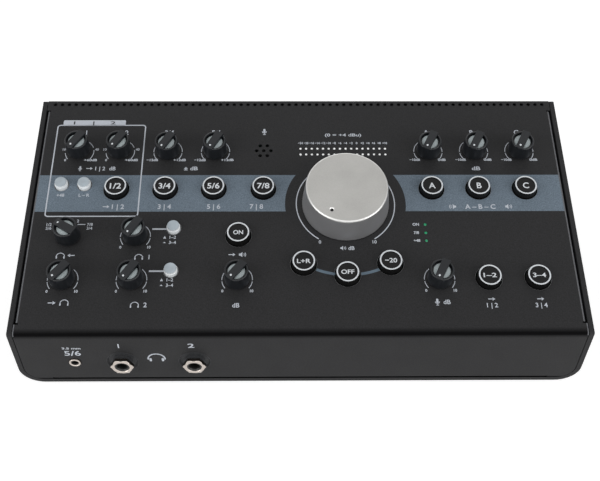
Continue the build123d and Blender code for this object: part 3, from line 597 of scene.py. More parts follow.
def cover_outline():
    """The flat sheet's edge: its right half from the front flange to the rear lip, and back."""
    bottom_t = front_start - front_flange_radius - front_flange_inset
    corner_t = bottom_t + cover_corner
    corner_u = cover_half - cover_corner
    notch_in = side_bend - 0.6
    half = [
        (front_slot_half - relief, 0.0), (front_slot_half - relief, front_start),
        (front_slot_half, front_start), (front_slot_half, bottom_t),
    ]
    for k in range(13):
        turn = math.pi / 2 * k / 12
        u, t = cover_corner * math.sin(turn), cover_corner * math.cos(turn)
        half.append((corner_u + u, corner_t - t))
    half += [
        (cover_half, slot_front_t), (notch_in, slot_front_t), (notch_in, flange_front_t),
        (side_reach, flange_front_t), (side_reach, flange_rear_t), (notch_in, flange_rear_t),
        (notch_in, slot_rear_t), (cover_half, slot_rear_t), (cover_half, cover_path.length),
    ]
    return half + [(-u, t) for u, t in reversed(half)]


def inside(point, outline):
    """Even-odd test of a point in an outline."""
    x, y = point
    hit = False
    for (x0, y0), (x1, y1) in zip(outline, outline[1:] + outline[:1]):
        if (y0 > y) != (y1 > y) and x < x0 + (y - y0) * (x1 - x0) / (y1 - y0):
            hit = not hit
    return hit


def cover_holes():
    """(u, t, radius, steps) of every hole through the cover."""
    places = [(middle_of(name), key_hole, 56) for name in key_nodes]
    places += [(middle_of(name), button_hole, 40) for name in button_nodes]
    places += [(place, lamp_hole, 16) for place in meter_places]
    places += [(place, status_hole, 16) for place in status_places()]
    mic_spots = [(column * mic_pitch, 0.0) for column in (-1, 0, 1)]
    mic_spots += [(column * mic_pitch / 2, row * mic_row) for column in (-1, 1) for row in (-1, 1)]
    places += [((mic_place[0] + x, mic_place[1] + s), mic_hole, 20) for x, s in mic_spots]
    for number in range(vent_count):
        x = (number - (vent_count - 1) / 2) * vent_pitch
        places.append(((x, top_length - vent_from_rear), vent_radius, 20))
    holes = [(x, t_of_s(s), radius, steps) for (x, s), radius, steps in places]
    holes += [(x, t, bushing_hole, 40) for x, t in dishes]
    return holes + [(mini_place, t_of_z(socket_z), mini_hole, 32)]


def status_places():
    """(x, s) of the three status lamps, read from their node."""
    mesh = nodes["status_lamps"].data
    seen = []
    for vertex in mesh.vertices:
        offset = vertex.co - panel_origin
        here = Vector((offset.dot(across), offset.dot(up_slope))) / MM
        group = next((g for g in seen if (g[0] - here).length < 3), None)
        if group:
            group.append(here)
        else:
            seen.append([here])
    return [
        (sum(p.x for p in group) / len(group), sum(p.y for p in group) / len(group))
        for group in seen
    ]


fold_bounds = (front_start + front_length - fold_shade - 1, top_start + fold_shade + 1)


# Material numbers of the sheet's outside. Several paint light and shade: a painted highlight on the rims of key
# and button holes, on the side bends and on the rear fold; painted shade at the front fold and under the front
# flange; lighter paint in the dishes.
sheet_paints = [
    case_paint, band_paint, front_fold_paint, edge_highlight_paint, shade_paint, rear_fold_highlight_paint,
    dish_lightened_paint, hole_rim_highlight_paint,
]
PLAIN, BAND, FOLD_SHADED, EDGE_HIGHLIGHT, SHADED, REAR_HIGHLIGHT, DISH_LIGHTENED, HOLE_RIM_HIGHLIGHT = range(8)


def paint_at(place):
    """Material number of a place on the sheet's outside."""
    u, t = place
    # Painted highlight beside the fold's two ends.
    if abs(u) > cover_half - corner_light and runs[3][0] < t < slot_front_t:
        return EDGE_HIGHLIGHT
    # Painted shade near the front fold.
    if fold_bounds[0] < t < fold_bounds[1]:
        return FOLD_SHADED
    if t < runs[1][0] + runs[1][1] / 2:
        return SHADED
    # Painted highlight on the side bends.
    if abs(u) > side_bend and flange_front_t < t < flange_rear_t:
        return EDGE_HIGHLIGHT
    # Painted highlight on the rear fold and its lip.
    if t > runs[5][0]:
        return REAR_HIGHLIGHT
    # Painted light: lighter paint in the dishes, against their shade.
    if dish_sink(u, t) > 0:
        return DISH_LIGHTENED
    in_band = t_of_s(band_front) < t < t_of_s(band_rear)
    from_knob = math.hypot(u - volume_place[0], t - t_of_s(volume_place[1]))
    return BAND if in_band and from_knob > band_gap_radius else PLAIN


def on_rim(centre, holes):
    """Whether a place is on the bevelled edge of a key's or button's hole."""
    return any(
        t > top_start
        and button_hole <= radius <= key_hole
        and math.hypot(centre.x - u, centre.y - t) < radius + edge_chamfer
        for u, t, radius, _ in holes
    )


def build_cover():
    """Cuts the flat sheet into triangles round its holes, then folds it into shape."""
    outline = cover_outline()
    holes = cover_holes()
    points = []
    edges = []

    def loop(chain, closed=True):
        first = len(points)
        points.extend(Vector(p) for p in chain)
        last = first + len(chain) - 1
        edges.extend((k, k + 1) for k in range(first, last))
        if closed:
            edges.append((last, first))

    loop(outline)
    for u, t, radius, steps in holes:
        loop(circle(u, t, radius, steps))
        loop(circle(u, t, radius + edge_chamfer, steps))
    for dish_x, dish_t in dishes:
        for radius, _ in dish_steps:
            loop(circle(dish_x, dish_t, radius, 64))
    loop(circle(volume_place[0], t_of_s(volume_place[1]), band_gap_radius, 120))
    bend_steps = 8
    for start_t, length, _, _, radius in runs:
        if radius:
            for k in range(bend_steps + 1):
                t = start_t + length * k / bend_steps
                loop([(-cover_half - 1, t), (cover_half + 1, t)], closed=False)
    for t in (t_of_s(band_front), t_of_s(band_rear), *fold_bounds):
        loop([(-side_reach - 1, t), (side_reach + 1, t)], closed=False)
    side_steps = 6
    for side in (-1, 1):
        u = side * (cover_half - corner_light)
        loop([(u, runs[3][0]), (u, slot_front_t)], closed=False)
        for k in range(side_steps + 1):
            u = side * (side_bend + flange_radius * math.pi / 2 * k / side_steps)
            loop([(u, flange_front_t), (u, flange_rear_t)], closed=False)

    flat_points, _, triangles, *_ = delaunay_2d_cdt(points, edges, [], 0, 1e-5)
    kept = []
    for triangle in triangles:
        centre = sum((flat_points[k] for k in triangle), Vector((0, 0))) / 3
        if not inside(centre, outline):
            continue
        if any(math.hypot(centre.x - u, centre.y - t) < radius for u, t, radius, _ in holes):
            continue
        kept.append((triangle, centre))

    builder = bmesh.new()
    outer = {}
    inner = {}
    for index in sorted({k for triangle, _ in kept for k in triangle}):
        u, t = flat_points[index]
        on_edge = any(abs(math.hypot(u - x, t - y) - radius) < 1e-3 for x, y, radius, _ in holes)
        outer[index] = builder.verts.new(sheet_point(u, t, edge_chamfer if on_edge else 0.0))
        inner[index] = builder.verts.new(sheet_point(u, t, sheet))
    borders = {}
    for triangle, centre in kept:
        top_face = builder.faces.new([outer[k] for k in triangle])
        builder.faces.new([inner[k] for k in reversed(triangle)])
        # The bevelled rims of key and button holes take a painted highlight.
        top_face.material_index = HOLE_RIM_HIGHLIGHT if on_rim(centre, holes) else paint_at(centre)
        for a, b in zip(triangle, triangle[1:] + triangle[:1]):
            if borders.pop((b, a), None) is None:
                borders[(a, b)] = True
    for a, b in borders:
        builder.faces.new([outer[b], outer[a], inner[a], inner[b]])
    bmesh.ops.recalc_face_normals(builder, faces=builder.faces)
    made = piece("cover_sheet", builder, "case", sheet_paints)
    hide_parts("top_cover")


# ======== ringed keys
key_radius = 8.05
key_top_radius = 7.35
key_height = 5.0
key_ring_inner = 6.45
key_recess = 0.7
key_nodes = [n for n in sorted(nodes) if n.startswith("key_") and n != "key_switches"]
button_nodes = ["phantom_button", "pan_button", "phones_button_1", "phones_button_2"]
key_legends = {
    "key_1_2": ("1/2", 4.35, 7.8), "key_3_4": ("3/4", 4.35, 8.2), "key_5_6": ("5/6", 4.35, 8.5),
    "key_digital": ("7/8", 4.35, 8.5), "key_a": ("A", 4.5, None), "key_b": ("B", 4.5, None),
    "key_c": ("C", 4.5, None), "key_on": ("ON", 3.1, 6.6), "key_mono": ("L+R", 3.1, 9.0),
    "key_mute": ("OFF", 3.1, 8.6), "key_dim": ("−20", 3.2, 8.0), "key_2tr": ("1–2", 3.1, 8.6),
    "key_cue": ("3–4", 3.1, 8.6),
}


def build_key(name):
    """Round black key with a white ring round a sunk legend."""
    here = on_panel(*middle_of(name))
    floor_height = key_height - key_recess
    profile = rounded(
        (0.0, -6.0), (key_radius, -6.0), (key_radius, 1.0, 0.4),
        (key_top_radius + 0.06, key_height - 0.15), (key_top_radius - 0.06, key_height, 0.06),
        (key_ring_inner + 0.1, key_height, 0.08), (key_ring_inner, key_height - 0.14),
        (key_ring_inner - 0.1, floor_height, 0.1), (0.0, floor_height),
    )
    builder = bmesh.new()
    lathe(builder, profile, here, 72, painted_above(key_height - 0.16, profile))
    body, height, width = key_legends[name]
    letters(builder, body, height, width, here @ Matrix.Translation((0, 0, floor_height)), 1)
    made = piece(name + "_cap", builder, name, [key_plastic, legend_ink])
    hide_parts(name)


# ======== lettering and signs
capital_height = 0.7  # of a letter of size 1


def letters(builder, body, height, width, matrix, paint=0):
    """Adds raised lettering, centred on the local origin, with that cap height."""
    curve = bpy.data.curves.new("lettering", "FONT")
    curve.body = body
    curve.size = 1.0
    curve.offset = 0.03 if height < 2.2 else 0.018  # small lettering is bolder
    curve.resolution_u = 3
    text = bpy.data.objects.new("lettering", curve)
    scene.collection.objects.link(text)
    evaluated = text.evaluated_get(bpy.context.evaluated_depsgraph_get())
    shape = bpy.data.meshes.new_from_object(evaluated)
    bpy.data.objects.remove(text)
    bpy.data.curves.remove(curve)
    xs = [v.co.x for v in shape.vertices]
    scale_y = height / capital_height
    scale_x = width / (max(xs) - min(xs)) if width else scale_y
    middle = (max(xs) + min(xs)) / 2
    flat = bmesh.new()
    flat.from_mesh(shape)
    bpy.data.meshes.remove(shape)
    bmesh.ops.remove_doubles(flat, verts=flat.verts, dist=1e-5)
    bmesh.ops.dissolve_degenerate(flat, edges=flat.edges, dist=1e-5)

    # Each flat letter becomes a thin closed solid that stands just proud of the surface.
    top = {}
    bottom = {}
    for vertex in flat.verts:
        x, y = (vertex.co.x - middle) * scale_x, (vertex.co.y - capital_height / 2) * scale_y
        top[vertex] = builder.verts.new(matrix @ Vector((x, y, ink_height)))
        bottom[vertex] = builder.verts.new(matrix @ Vector((x, y, -ink_depth)))
    for face in flat.faces:
        corners = list(face.verts)
        if face.normal.z < 0:
            corners.reverse()
        faces = [[top[v] for v in corners], [bottom[v] for v in reversed(corners)]]
        for a, b in zip(corners, corners[1:] + corners[:1]):
            if len(flat.edges.get((a, b)).link_faces) == 1:
                faces.append([top[b], top[a], bottom[a], bottom[b]])
        for ring in faces:
            builder.faces.new(ring).material_index = paint
    flat.free()


def strip(builder, line, width, matrix, closed=False):
    """Printed line of even width along some points."""
    count = len(line)
    sides = []
    for k, point in enumerate(line):
        here = Vector(point)
        before = Vector(line[k - 1]) if closed or k > 0 else None
        after = Vector(line[(k + 1) % count]) if closed or k < count - 1 else None
        come = (here - before).normalized() if before else (after - here).normalized()
        leave = (after - here).normalized() if after else come
        across_line = Vector((-(come + leave).y, (come + leave).x)).normalized()
        reach = width / 2 / max(0.3, across_line.dot(Vector((-come.y, come.x))))
        sides.append((here + across_line * reach, here - across_line * reach))
    rings = []
    for left, right in sides:
        around = ((left, ink_height), (right, ink_height), (right, -ink_depth), (left, -ink_depth))
        rings.append([builder.verts.new(matrix @ Vector((*p, height))) for p, height in around])
    skin(builder, rings, closed=closed)
    if not closed:
        cap_ends(builder, rings)


def arc(x, y, radius, start, end, steps=24):
    """Points along an arc; angles in degrees, clockwise from straight up."""
    points = []
    for k in range(steps + 1):
        angle = math.radians(start + (end - start) * k / steps)
        points.append((x + radius * math.sin(angle), y + radius * math.cos(angle)))
    return points


def patch(builder, outline, matrix):
    """Filled printed shape."""
    prism(builder, outline, -ink_depth, ink_height, matrix)


def stadium(x, y, width, height, steps=8):
    """Upright shape with round ends, anticlockwise."""
    radius = width / 2
    reach = height / 2 - radius
    turns = [math.pi * k / steps for k in range(steps + 1)]
    top = [(radius * math.cos(turn), reach + radius * math.sin(turn)) for turn in turns]
    return [(x + px, y + py) for px, py in top] + [(x - px, y - py) for px, py in top]


def sign_phones(builder, matrix, size):
    """Headphones: a bow and two ear pads."""
    radius = size / 2
    strip(builder, arc(0, -radius * 0.35, radius, -88, 88), size * 0.096, matrix)
    for side in (-1, 1):
        pad = stadium(side * radius * 0.93, -radius * 0.55, size * 0.176, size * 0.36)
        patch(builder, pad, matrix)


def sign_mic(builder, matrix, size):
    """Microphone: a capsule in its stand."""
    patch(builder, stadium(0, size * 0.16, size * 0.3, size * 0.62), matrix)
    bow = arc(0, size * 0.06, size * 0.28, 90, 270, 16)
    stem = [(0, -size * 0.2), (0, -size * 0.46)]
    foot = [(-size * 0.18, -size * 0.46), (size * 0.18, -size * 0.46)]
    for line in (bow, stem, foot):
        strip(builder, line, size * 0.09, matrix)


def sign_speaker(builder, matrix, size, facing=1):
    """Loudspeaker: a cone and two waves; facing -1 turns it to the left."""
    half = [(-0.45, -0.16), (-0.25, -0.16), (0.02, -0.42)]
    cone = half + [(x, -y) for x, y in reversed(half)]
    outline = [(x * size * facing, y * size) for x, y in cone]
    patch(builder, outline[::facing], matrix)
    for reach in (0.3, 0.5):
        wave = [(x * facing, y) for x, y in arc(-0.02 * size, 0, size * reach, 50, 130, 10)]
        strip(builder, wave, size * 0.09, matrix)


def sign_arrow(builder, matrix, size, turn=0.0):
    """Arrow, pointing right before it is turned."""
    here = matrix @ Matrix.Rotation(math.radians(turn), 4, "Z")
    strip(builder, [(-size * 0.5, 0), (size * 0.2, 0)], size * 0.13, here)
    patch(builder, [(size * 0.12, -size * 0.26), (size * 0.5, 0), (size * 0.12, size * 0.26)], here)


def sign_triangle(builder, matrix, width, height):
    """Small solid triangle."""
    patch(builder, [(-width / 2, -height / 2), (width / 2, -height / 2), (0, height / 2)], matrix)


def rounded_box(left, right, low, high, corner, steps):
    """Clockwise outline of an upright box with round corners."""
    left, right, low, high = left + corner, right - corner, low + corner, high - corner
    line = []
    for start, x, y in ((0, right, high), (90, right, low), (180, left, low), (270, left, high)):
        line += arc(x, y, corner, start, start + 90, steps)
    return line


# ======== what is printed on the top
gain_scale = (("0", -9.4, None), ("+60dB", 8.4, 9.2))
trim_scale = (("−12dB", -10.6, 8.2), ("+12dB", 8.6, 8.8))
monitor_scale = (("−10dB", -9.8, 7.4), ("0dB", 9.3, 5.6))
plain_scale = (("0", -9.4, None), ("10", 9.6, None))
knob_scales = {
    # joint: (end labels as text, place and width; text behind the knob)
    "gain_1_turn": (gain_scale, "1"),
    "gain_2_turn": (gain_scale, "2"),
    "trim_3_4_turn": (trim_scale, "3/4"),
    "trim_5_6_turn": (trim_scale, "5/6"),
    "trim_a_turn": (monitor_scale, "A"),
    "trim_b_turn": (monitor_scale, "B"),
    "trim_c_turn": (monitor_scale, "C"),
    "phones_1_turn": (plain_scale, None),
    "direct_monitor_turn": (plain_scale, None),
    "phones_2_turn": (plain_scale, None),
    "studio_level_turn": (plain_scale, None),
    "talkback_level_turn": (plain_scale, None),
}
gain_spans = ((-128, -97), (-70, -20), (20, 70), (82, 128))  # degrees from straight up
plain_spans = ((-129, -98), (-92, -40), (40, 92), (98, 129))
scale_radius = 10.0
scale_line = 0.5
scale_height = 1.9  # of the end numbers
scale_label_drop = 8.25
top_row_label_drop = 7.1
heading_s = 158.2  # headings of the top row of knobs
heading_height = 3.6


def print_scales(builder):
    """Broken ring and end numbers round each small knob."""
    for joint_name, (ends, heading) in knob_scales.items():
        x, s = place_of(joint_name)
        marks = ends == gain_scale
        spans = gain_spans if marks else plain_spans
        for start, end in spans:
            strip(builder, arc(0, 0, scale_radius, start, end, 14), scale_line, on_panel(x, s))
        drop = top_row_label_drop if heading else scale_label_drop
        for label, offset, width in ends:
            print_label(builder, label, x + offset, s - drop, scale_height, width)
        for label, offset in (("10", -11.0), ("40", 12.0)) if marks else ():
            print_label(builder, label, x + offset, s + 2.0, scale_height)
        if heading:
            print_label(builder, heading, x + 3.2 * marks, heading_s, heading_height)


def print_label(builder, body, x, s, height, width=None):
    letters(builder, body, height, width, on_panel(x, s))


meter_scale = ("−24", "−20", "−16", "−14", "−12", "−10", "−8", "−6")
meter_scale += ("−4", "−2", "0", "+2", "+4", "+6", "+8", "+10")
panel_labels = (  # text, x, s, height and, where it is set, width
    # under the volume knob and over the meter
    ("0", 12.9, 67.5, 2.4), ("10", 49.5, 67.5, 2.4), ("dB", 33.8, 62.75, 2.8),
    ("(0 = +4 dBu)", 31.0, 155.9, 2.4, 26.0),
    # under the upper row of knobs, and beside the phantom and pan buttons
    ("1 | 2", -139.5, 127.1, 3.0), ("dB", -131.0, 127.1, 3.0), ("± dB", -76.25, 127.1, 3.0, 9.6),
    ("dB", 123.5, 126.9, 3.0, 6.0), ("+48", -164.6, 105.0, 2.4), ("L – R", -148.5, 105.0, 2.4),
    # in the band
    ("1 | 2", -124.4, 95.6, 3.6), ("3 | 4", -92.8, 95.6, 3.6), ("5 | 6", -59.2, 95.6, 3.6),
    ("7 | 8", -30.0, 95.6, 3.6), ("A – B – C", 123.2, 95.25, 3.6),
    # round the source selector
    ("1/2", -169.4, 81.5, 2.2), ("5/6", -169.4, 78.5, 2.2), ("2", -150.25, 84.2, 2.2),
    ("7/8", -142.0, 81.5, 2.2), ("3/4", -142.0, 78.5, 2.2),
    # under the lower controls
    ("dB", -42.1, 20.6, 3.1), ("dB", 94.2, 22.6, 3.1), ("1 | 2", 123.4, 20.2, 3.1),
    ("3 | 4", 155.2, 20.2, 3.1),
)
panel_signs = (  # sign, x, s, size and, where it is turned, how
    (sign_speaker, 28.2, 62.75, 4.0), (sign_mic, -25.25, 158.75, 5.4),
    (sign_mic, -153.5, 127.1, 4.2), (sign_arrow, -147.0, 127.1, 4.4),
    (sign_arrow, -132.5, 95.6, 4.6), (sign_speaker, 104.5, 95.25, 4.8, -1),
    (sign_speaker, 142.5, 95.25, 4.8), (sign_phones, -159.0, 57.6, 5.4),
    (sign_arrow, -152.0, 57.6, 4.8, 180), (sign_arrow, -160.5, 22.6, 5.0),
    (sign_phones, -152.5, 23.0, 5.4), (sign_arrow, -45.6, 57.9, 4.6),
    (sign_speaker, -38.8, 57.9, 4.8), (sign_mic, 88.0, 22.6, 5.0), (sign_arrow, 123.4, 24.6, 4.6),
    (sign_arrow, 155.2, 24.6, 4.6),
)
phones_print = ((56.25, 77.75), (21.0, 45.6))  # (level's sign, source button), both as s
volume_ring_radius = 33.67
volume_ring_end = 146.2
link_arc_radius = 55.3
frame_corners = (-173.2, -110.5, 87.9, 164.6)  # left, right, low, high
tab_corners = (-169.6, -125.0, 164.4, 169.1)


def print_panel():
    """Everything in white ink on the sloping top, and the blue arc under the volume knob."""
    builder = bmesh.new()
    flat = on_panel(0, 0)
    print_scales(builder)
    for label in panel_labels:
        print_label(builder, *label)
    for sign, x, s, *size_and_turn in panel_signs:
        sign(builder, on_panel(x, s), *size_and_turn)
    ring = arc(*volume_place, volume_ring_radius, -volume_ring_end, volume_ring_end, 160)
    strip(builder, ring, 0.7, flat)
    strip(builder, [(-150.25, 81.5), (-145.0, 81.5)], 0.6, flat)
    for column, label in enumerate(meter_scale):
        x = meter_first[0] + column * meter_pitch
        print_label(builder, label, x, 148.75, 1.8, min(3.4, 1.2 * len(label)))

    # Frame round the microphone inputs, with its tab.
    strip(builder, rounded_box(*frame_corners, 2.0, 6), 0.85, flat, closed=True)
    patch(builder, rounded_box(*tab_corners, 1.0, 4)[::-1], flat)
    tab_print = bmesh.new()
    tab_left, tab_right, tab_low, tab_high = tab_corners
    tab_middle = on_panel((tab_left + tab_right) / 2, (tab_low + tab_high) / 2)
    on_tab = tab_middle @ Matrix.Translation((0, 0, ink_height))
    letters(tab_print, "1     |     2", 2.6, 30.0, on_tab)
    piece("tab_print", tab_print, "case", [dark_ink])

    # Headphone levels and their source buttons.
    for number, (label_s, button) in enumerate(phones_print, start=1):
        sign_phones(builder, on_panel(-107.2, label_s + 0.3), 5.2)
        print_label(builder, str(number), -100.4, label_s, 3.3)
        strip(builder, [(-99.75, button), (-89.9, button)], 1.2, flat)
        for row, mark in enumerate(("1–2", "3–4")):
            mark_s = button - 6.4 - 4.0 * row
            sign_triangle(builder, on_panel(-91.0, mark_s), 2.0, 2.0 - row)
            print_label(builder, mark, -85.6, mark_s, 2.3)

    lamps = sorted(status_places(), key=lambda place: -place[1])
    for label, (lamp_x, lamp_s) in zip(("ON", "7/8", "+48"), lamps):
        print_label(builder, label, lamp_x - 6.4, lamp_s, 2.0)
    piece("panel_print", builder, "case", [white_ink])

    link = bmesh.new()
    for start, end in ((158.0, 171.0), (189.0, 202.0)):
        strip(link, arc(*volume_place, link_arc_radius, start, end, 16), 2.0, flat)
    piece("key_link_print", link, "case", [blue_ink])


def print_front():
    """White ink on the front face."""
    builder = bmesh.new()
    for body, height, width, x, drop in (
        ("1", 4.4, None, phone_places[0] - 0.6, 12.0),
        ("2", 4.4, 4.2, phone_places[1] - 1.2, 12.0), ("5/6", 5.0, 10.6, mini_place, 20.0),
        ("3.5 mm", 2.0, 12.0, mini_place, 14.6),
    ):
        letters(builder, body, height, width, on_front(x, fold_z - drop))
    middle = sum(phone_places) / 2 - 1.05
    radius = 5.5
    strip(builder, arc(middle, fold_z - 26.6, radius, -97, 97, 24), 1.0, on_front(0, 0))
    for side in (-1, 1):
        pad = stadium(middle + side * (radius - 1.5), fold_z - 27.6, 1.5, 3.6)
        patch(builder, pad, on_front(0, 0))
    piece("front_print", builder, "case", [white_ink])


# ======== volume knob
volume_radius = 29.7
volume_rim = (27.8, 20.0)  # (radius, height) where the polished edge begins
volume_face = (26.65, 21.4)  # where it ends
volume_dimple = (20.9, 1.75, 1.8)  # (place, radius, depth)
FACE, BEVEL, DIMPLE_SHADE, SIDE = range(4)  # its materials; the dimple's floor takes black plastic as painted shade


def build_volume():
    """Turned aluminium knob with a polished bevel and one pointer dimple."""
    here = on_panel(*volume_place, turn=volume_turn)
    steps = 192
    face_radius, face_height = volume_face
    profile = rounded(
        (3.05, 6.6), (12.0, 6.6), (12.0, 0.6), (volume_radius, 0.6, 0.35), volume_rim,
        (volume_rim[0] - 0.35, face_height - 0.25, 0.8), volume_face,
        (face_radius - 0.2, face_height),
    )
    paints = [FACE] * (len(profile) - 1)
    for k, ((r0, h0), (r1, h1)) in enumerate(zip(profile, profile[1:])):
        if min(h0, h1) > volume_rim[1] - 0.05 and r1 > face_radius - 0.05:
            paints[k] = BEVEL
        elif r0 > volume_rim[0] - 0.05:
            paints[k] = SIDE
    builder = bmesh.new()
    lathe(builder, profile, here, steps, paints)

    # Flat top, cut round the dimple, and the dimple itself, whose floor is painted black as shade.
    dimple_place, dimple_radius, dimple_depth = volume_dimple
    rim = circle(0, 0, face_radius - 0.2, steps)
    mouth_steps = 32
    mouth = circle(0, dimple_place, dimple_radius, mouth_steps)
    points = [Vector(p) for p in rim + mouth]
    edges = [(k, (k + 1) % steps) for k in range(steps)]
    edges += [(steps + k, steps + (k + 1) % mouth_steps) for k in range(mouth_steps)]
    flat, _, triangles, *_ = delaunay_2d_cdt(points, edges, [], 0, 1e-6)
    corners = ring_at(builder, flat, face_height, here)
    for triangle in triangles:
        centre = sum((flat[k] for k in triangle), Vector((0, 0))) / 3
        if not inside(centre, mouth):
            builder.faces.new([corners[k] for k in triangle])
    bowl = rounded(
        (0.0, face_height - dimple_depth),
        (dimple_radius - 0.75, face_height - dimple_depth + 0.3),
        (dimple_radius - 0.65, face_height - 0.5), (dimple_radius, face_height),
    )
    dimple_here = here @ Matrix.Translation((0, dimple_place, 0))
    lathe(builder, bowl, dimple_here, mouth_steps, [DIMPLE_SHADE, DIMPLE_SHADE, BEVEL])
    bmesh.ops.remove_doubles(builder, verts=builder.verts, dist=0.002 * MM)
    bmesh.ops.recalc_face_normals(builder, faces=builder.faces)
    materials = [turned_metal, bevel_metal, socket_plastic, turned_side]
    made_piece = piece("volume_knob_turned", builder, "volume", materials, 14)
    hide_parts("volume_knob")


# ======== small knobs
small_knob_turns = {
    "gain_1_turn": 146.0, "gain_2_turn": 146.5, "trim_3_4_turn": 149.0, "trim_5_6_turn": 149.5,
    "trim_a_turn": 153.0, "trim_b_turn": 153.0, "trim_c_turn": 153.0, "cue_source_turn": 58.5,
    "phones_1_turn": 146.0, "direct_monitor_turn": 140.0, "phones_2_turn": 146.0,
    "studio_level_turn": 141.0, "talkback_level_turn": 154.0,
}
gain_knob_lift = 1.3
knob_base_radius = 8.35
knob_rim_radius = 7.85
knob_rim_height = 13.4
knob_rim_rounding = 0.8
knob_well_radius = 6.65
knob_floor_height = 11.0
knob_insert_radius = 5.6
knob_gap = 2.0
bar_half_width = 2.6  # at the pointing end
bar_tail_half_width = 2.85
bar_reach = 7.7
bar_height = 14.7
bar_nose_length = 4.2
bar_nose_height = 13.75
dot_from_end = 2.5


def knob_bar():
    """Pointer bar: level, then falling to the rim at its pointing end."""
    bottom = 12.0
    side_view = [
        (-bar_reach, bottom, bar_tail_half_width), (bar_reach, bottom, bar_half_width),
        (bar_reach, bar_nose_height, bar_half_width),
        (bar_reach - bar_nose_length, bar_height, bar_half_width + 0.05),
        (-bar_reach, bar_height, bar_tail_half_width),
    ]
    bar = bmesh.new()
    left = [bar.verts.new((-half, y, z)) for y, z, half in side_view]
    right = [bar.verts.new((half, y, z)) for y, z, half in side_view]
    cap_ends(bar, [right, left])
    skin(bar, [right, left])
    bmesh.ops.recalc_face_normals(bar, faces=bar.faces)
    bmesh.ops.bevel(bar, geom=list(bar.edges), offset=0.28, segments=2, profile=0.6, affect="EDGES")
    return bar


def build_small_knob(joint_name, turn):
    """Tapered knob: well, domed grey insert and a pointer bar with a white dot."""
    node = joints[joint_name]["child"]
    lift = gain_knob_lift if joint_name.startswith("gain") else 0.0
    here = on_panel(*place_of(joint_name), turn=turn) @ Matrix.Translation((0, 0, lift))
    profile = rounded(
        (0.0, 9.5), (3.1, 9.5), (3.1, knob_gap), (knob_base_radius, knob_gap, 0.25),
        (knob_rim_radius, knob_rim_height, knob_rim_rounding),
        (knob_well_radius, knob_rim_height, 0.35), (knob_well_radius - 0.15, knob_floor_height),
        (0.0, knob_floor_height),
    )
    builder = bmesh.new()
    lathe(builder, profile, here, 72)
    merge(builder, knob_bar(), here)
    insert = rounded(
        (knob_insert_radius, knob_floor_height),
        (knob_insert_radius, knob_floor_height + 0.7, 0.15), (3.6, knob_floor_height + 0.95),
        (0.0, knob_floor_height + 1.05),
    )
    lathe(builder, insert, here, 56, [1] * (len(insert) - 1))
    dot = [(0.0, -0.05), (0.66, -0.05), (0.66, 0.02), (0.55, 0.07), (0.0, 0.08)]
    nose_drop = bar_height - bar_nose_height
    fall = math.atan2(nose_drop, bar_nose_length)
    dot_y = bar_reach - dot_from_end
    dot_z = bar_nose_height + nose_drop * dot_from_end / bar_nose_length
    dot_place = here @ Matrix.Translation((0, dot_y, dot_z)) @ Matrix.Rotation(-fall, 4, "X")
    lathe(builder, dot, dot_place, 20, [2] * 4)
    materials = [knob_plastic, insert_plastic, legend_ink]
    made = piece(node + "_body", builder, node, materials)
    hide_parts(node)

    shaft = bmesh.new()
    shaft_profile = [(0, -7.0), (3.0, -7.0), (3.0, 9.3 + lift), (0, 9.3 + lift)]
    lathe(shaft, shaft_profile, on_panel(*place_of(joint_name), turn=turn), 24)
    piece(node + "_shaft", shaft, node, [steel])


def merge(builder, other, matrix):
    """Adds another bmesh to this one, through a matrix."""
    copied = {v: builder.verts.new(matrix @ v.co) for v in other.verts}
    for face in other.faces:
        builder.faces.new([copied[v] for v in face.verts])
    other.free()


# ======== latching buttons
def build_button(name):
    """Light grey push button: a cap that stands on a thin white flange. The cap's side below 3.7 mm takes the
    flange's white as a painted highlight of its rounded edge.
    """
    here = on_panel(*middle_of(name))
    profile = rounded(
        (0.0, -5.0), (4.5, -5.0), (4.5, 2.4, 0.25), (4.15, 2.55, 0.1), (4.0, 4.45, 0.45),
        (0.0, 4.45),
    )
    builder = bmesh.new()
    lathe(builder, profile, here, 48, painted_above(3.7, profile))
    made = piece(name + "_cap", builder, name, [cap_flange_and_highlight_plastic, cap_plastic])
    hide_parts(name)


# ======== lamps
def build_lamps():
    """White meter lenses and green status lenses, just under the panel's face."""
    profile = [(0.0, -6.0), (0.84, -6.0), (0.84, -0.3), (0.66, -0.16), (0.33, -0.08), (0.0, -0.06)]
    meter = bmesh.new()
    for place in meter_places:
        lathe(meter, profile, on_panel(*place), 16)
    made = piece("meter_lenses", meter, "case", [lamp_plastic])
    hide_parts("meter_lamps")
    status = bmesh.new()
    wide = [(radius * 1.18, height) for radius, height in profile]
    for place in status_places():
        lathe(status, wide, on_panel(*place), 20)
    made = piece("status_lenses", status, "case", [status_plastic])
    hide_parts("status_lamps")


# ======== front sockets
phone_nut = (13.4, 4.75, 1.7, 4.5)  # across its flats, radius of its bore, from and to
volume_nut = (12.0, 4.6, 0.0, 2.2)


def hexagon(flats):
    """Radius of a hexagon at an angle."""
    return lambda angle: flats / 2 / math.cos((angle + math.pi / 6) % (math.pi / 3) - math.pi / 6)


def stacked(builder, matrix, levels, closed=False, count=48, paints=None):
    """Skin over rings at (height, radius or radius-at-angle); closed joins last to first."""
    rings = []
    for height, radius in levels:
        ring = []
        for k in range(count):
            angle = math.tau * k / count
            reach = radius(angle) if callable(radius) else radius
            ring.append((reach * math.cos(angle), reach * math.sin(angle)))
        rings.append(ring_at(builder, ring, height, matrix))
    if not closed:
        cap_ends(builder, rings)
    skin(builder, rings, paints, closed)


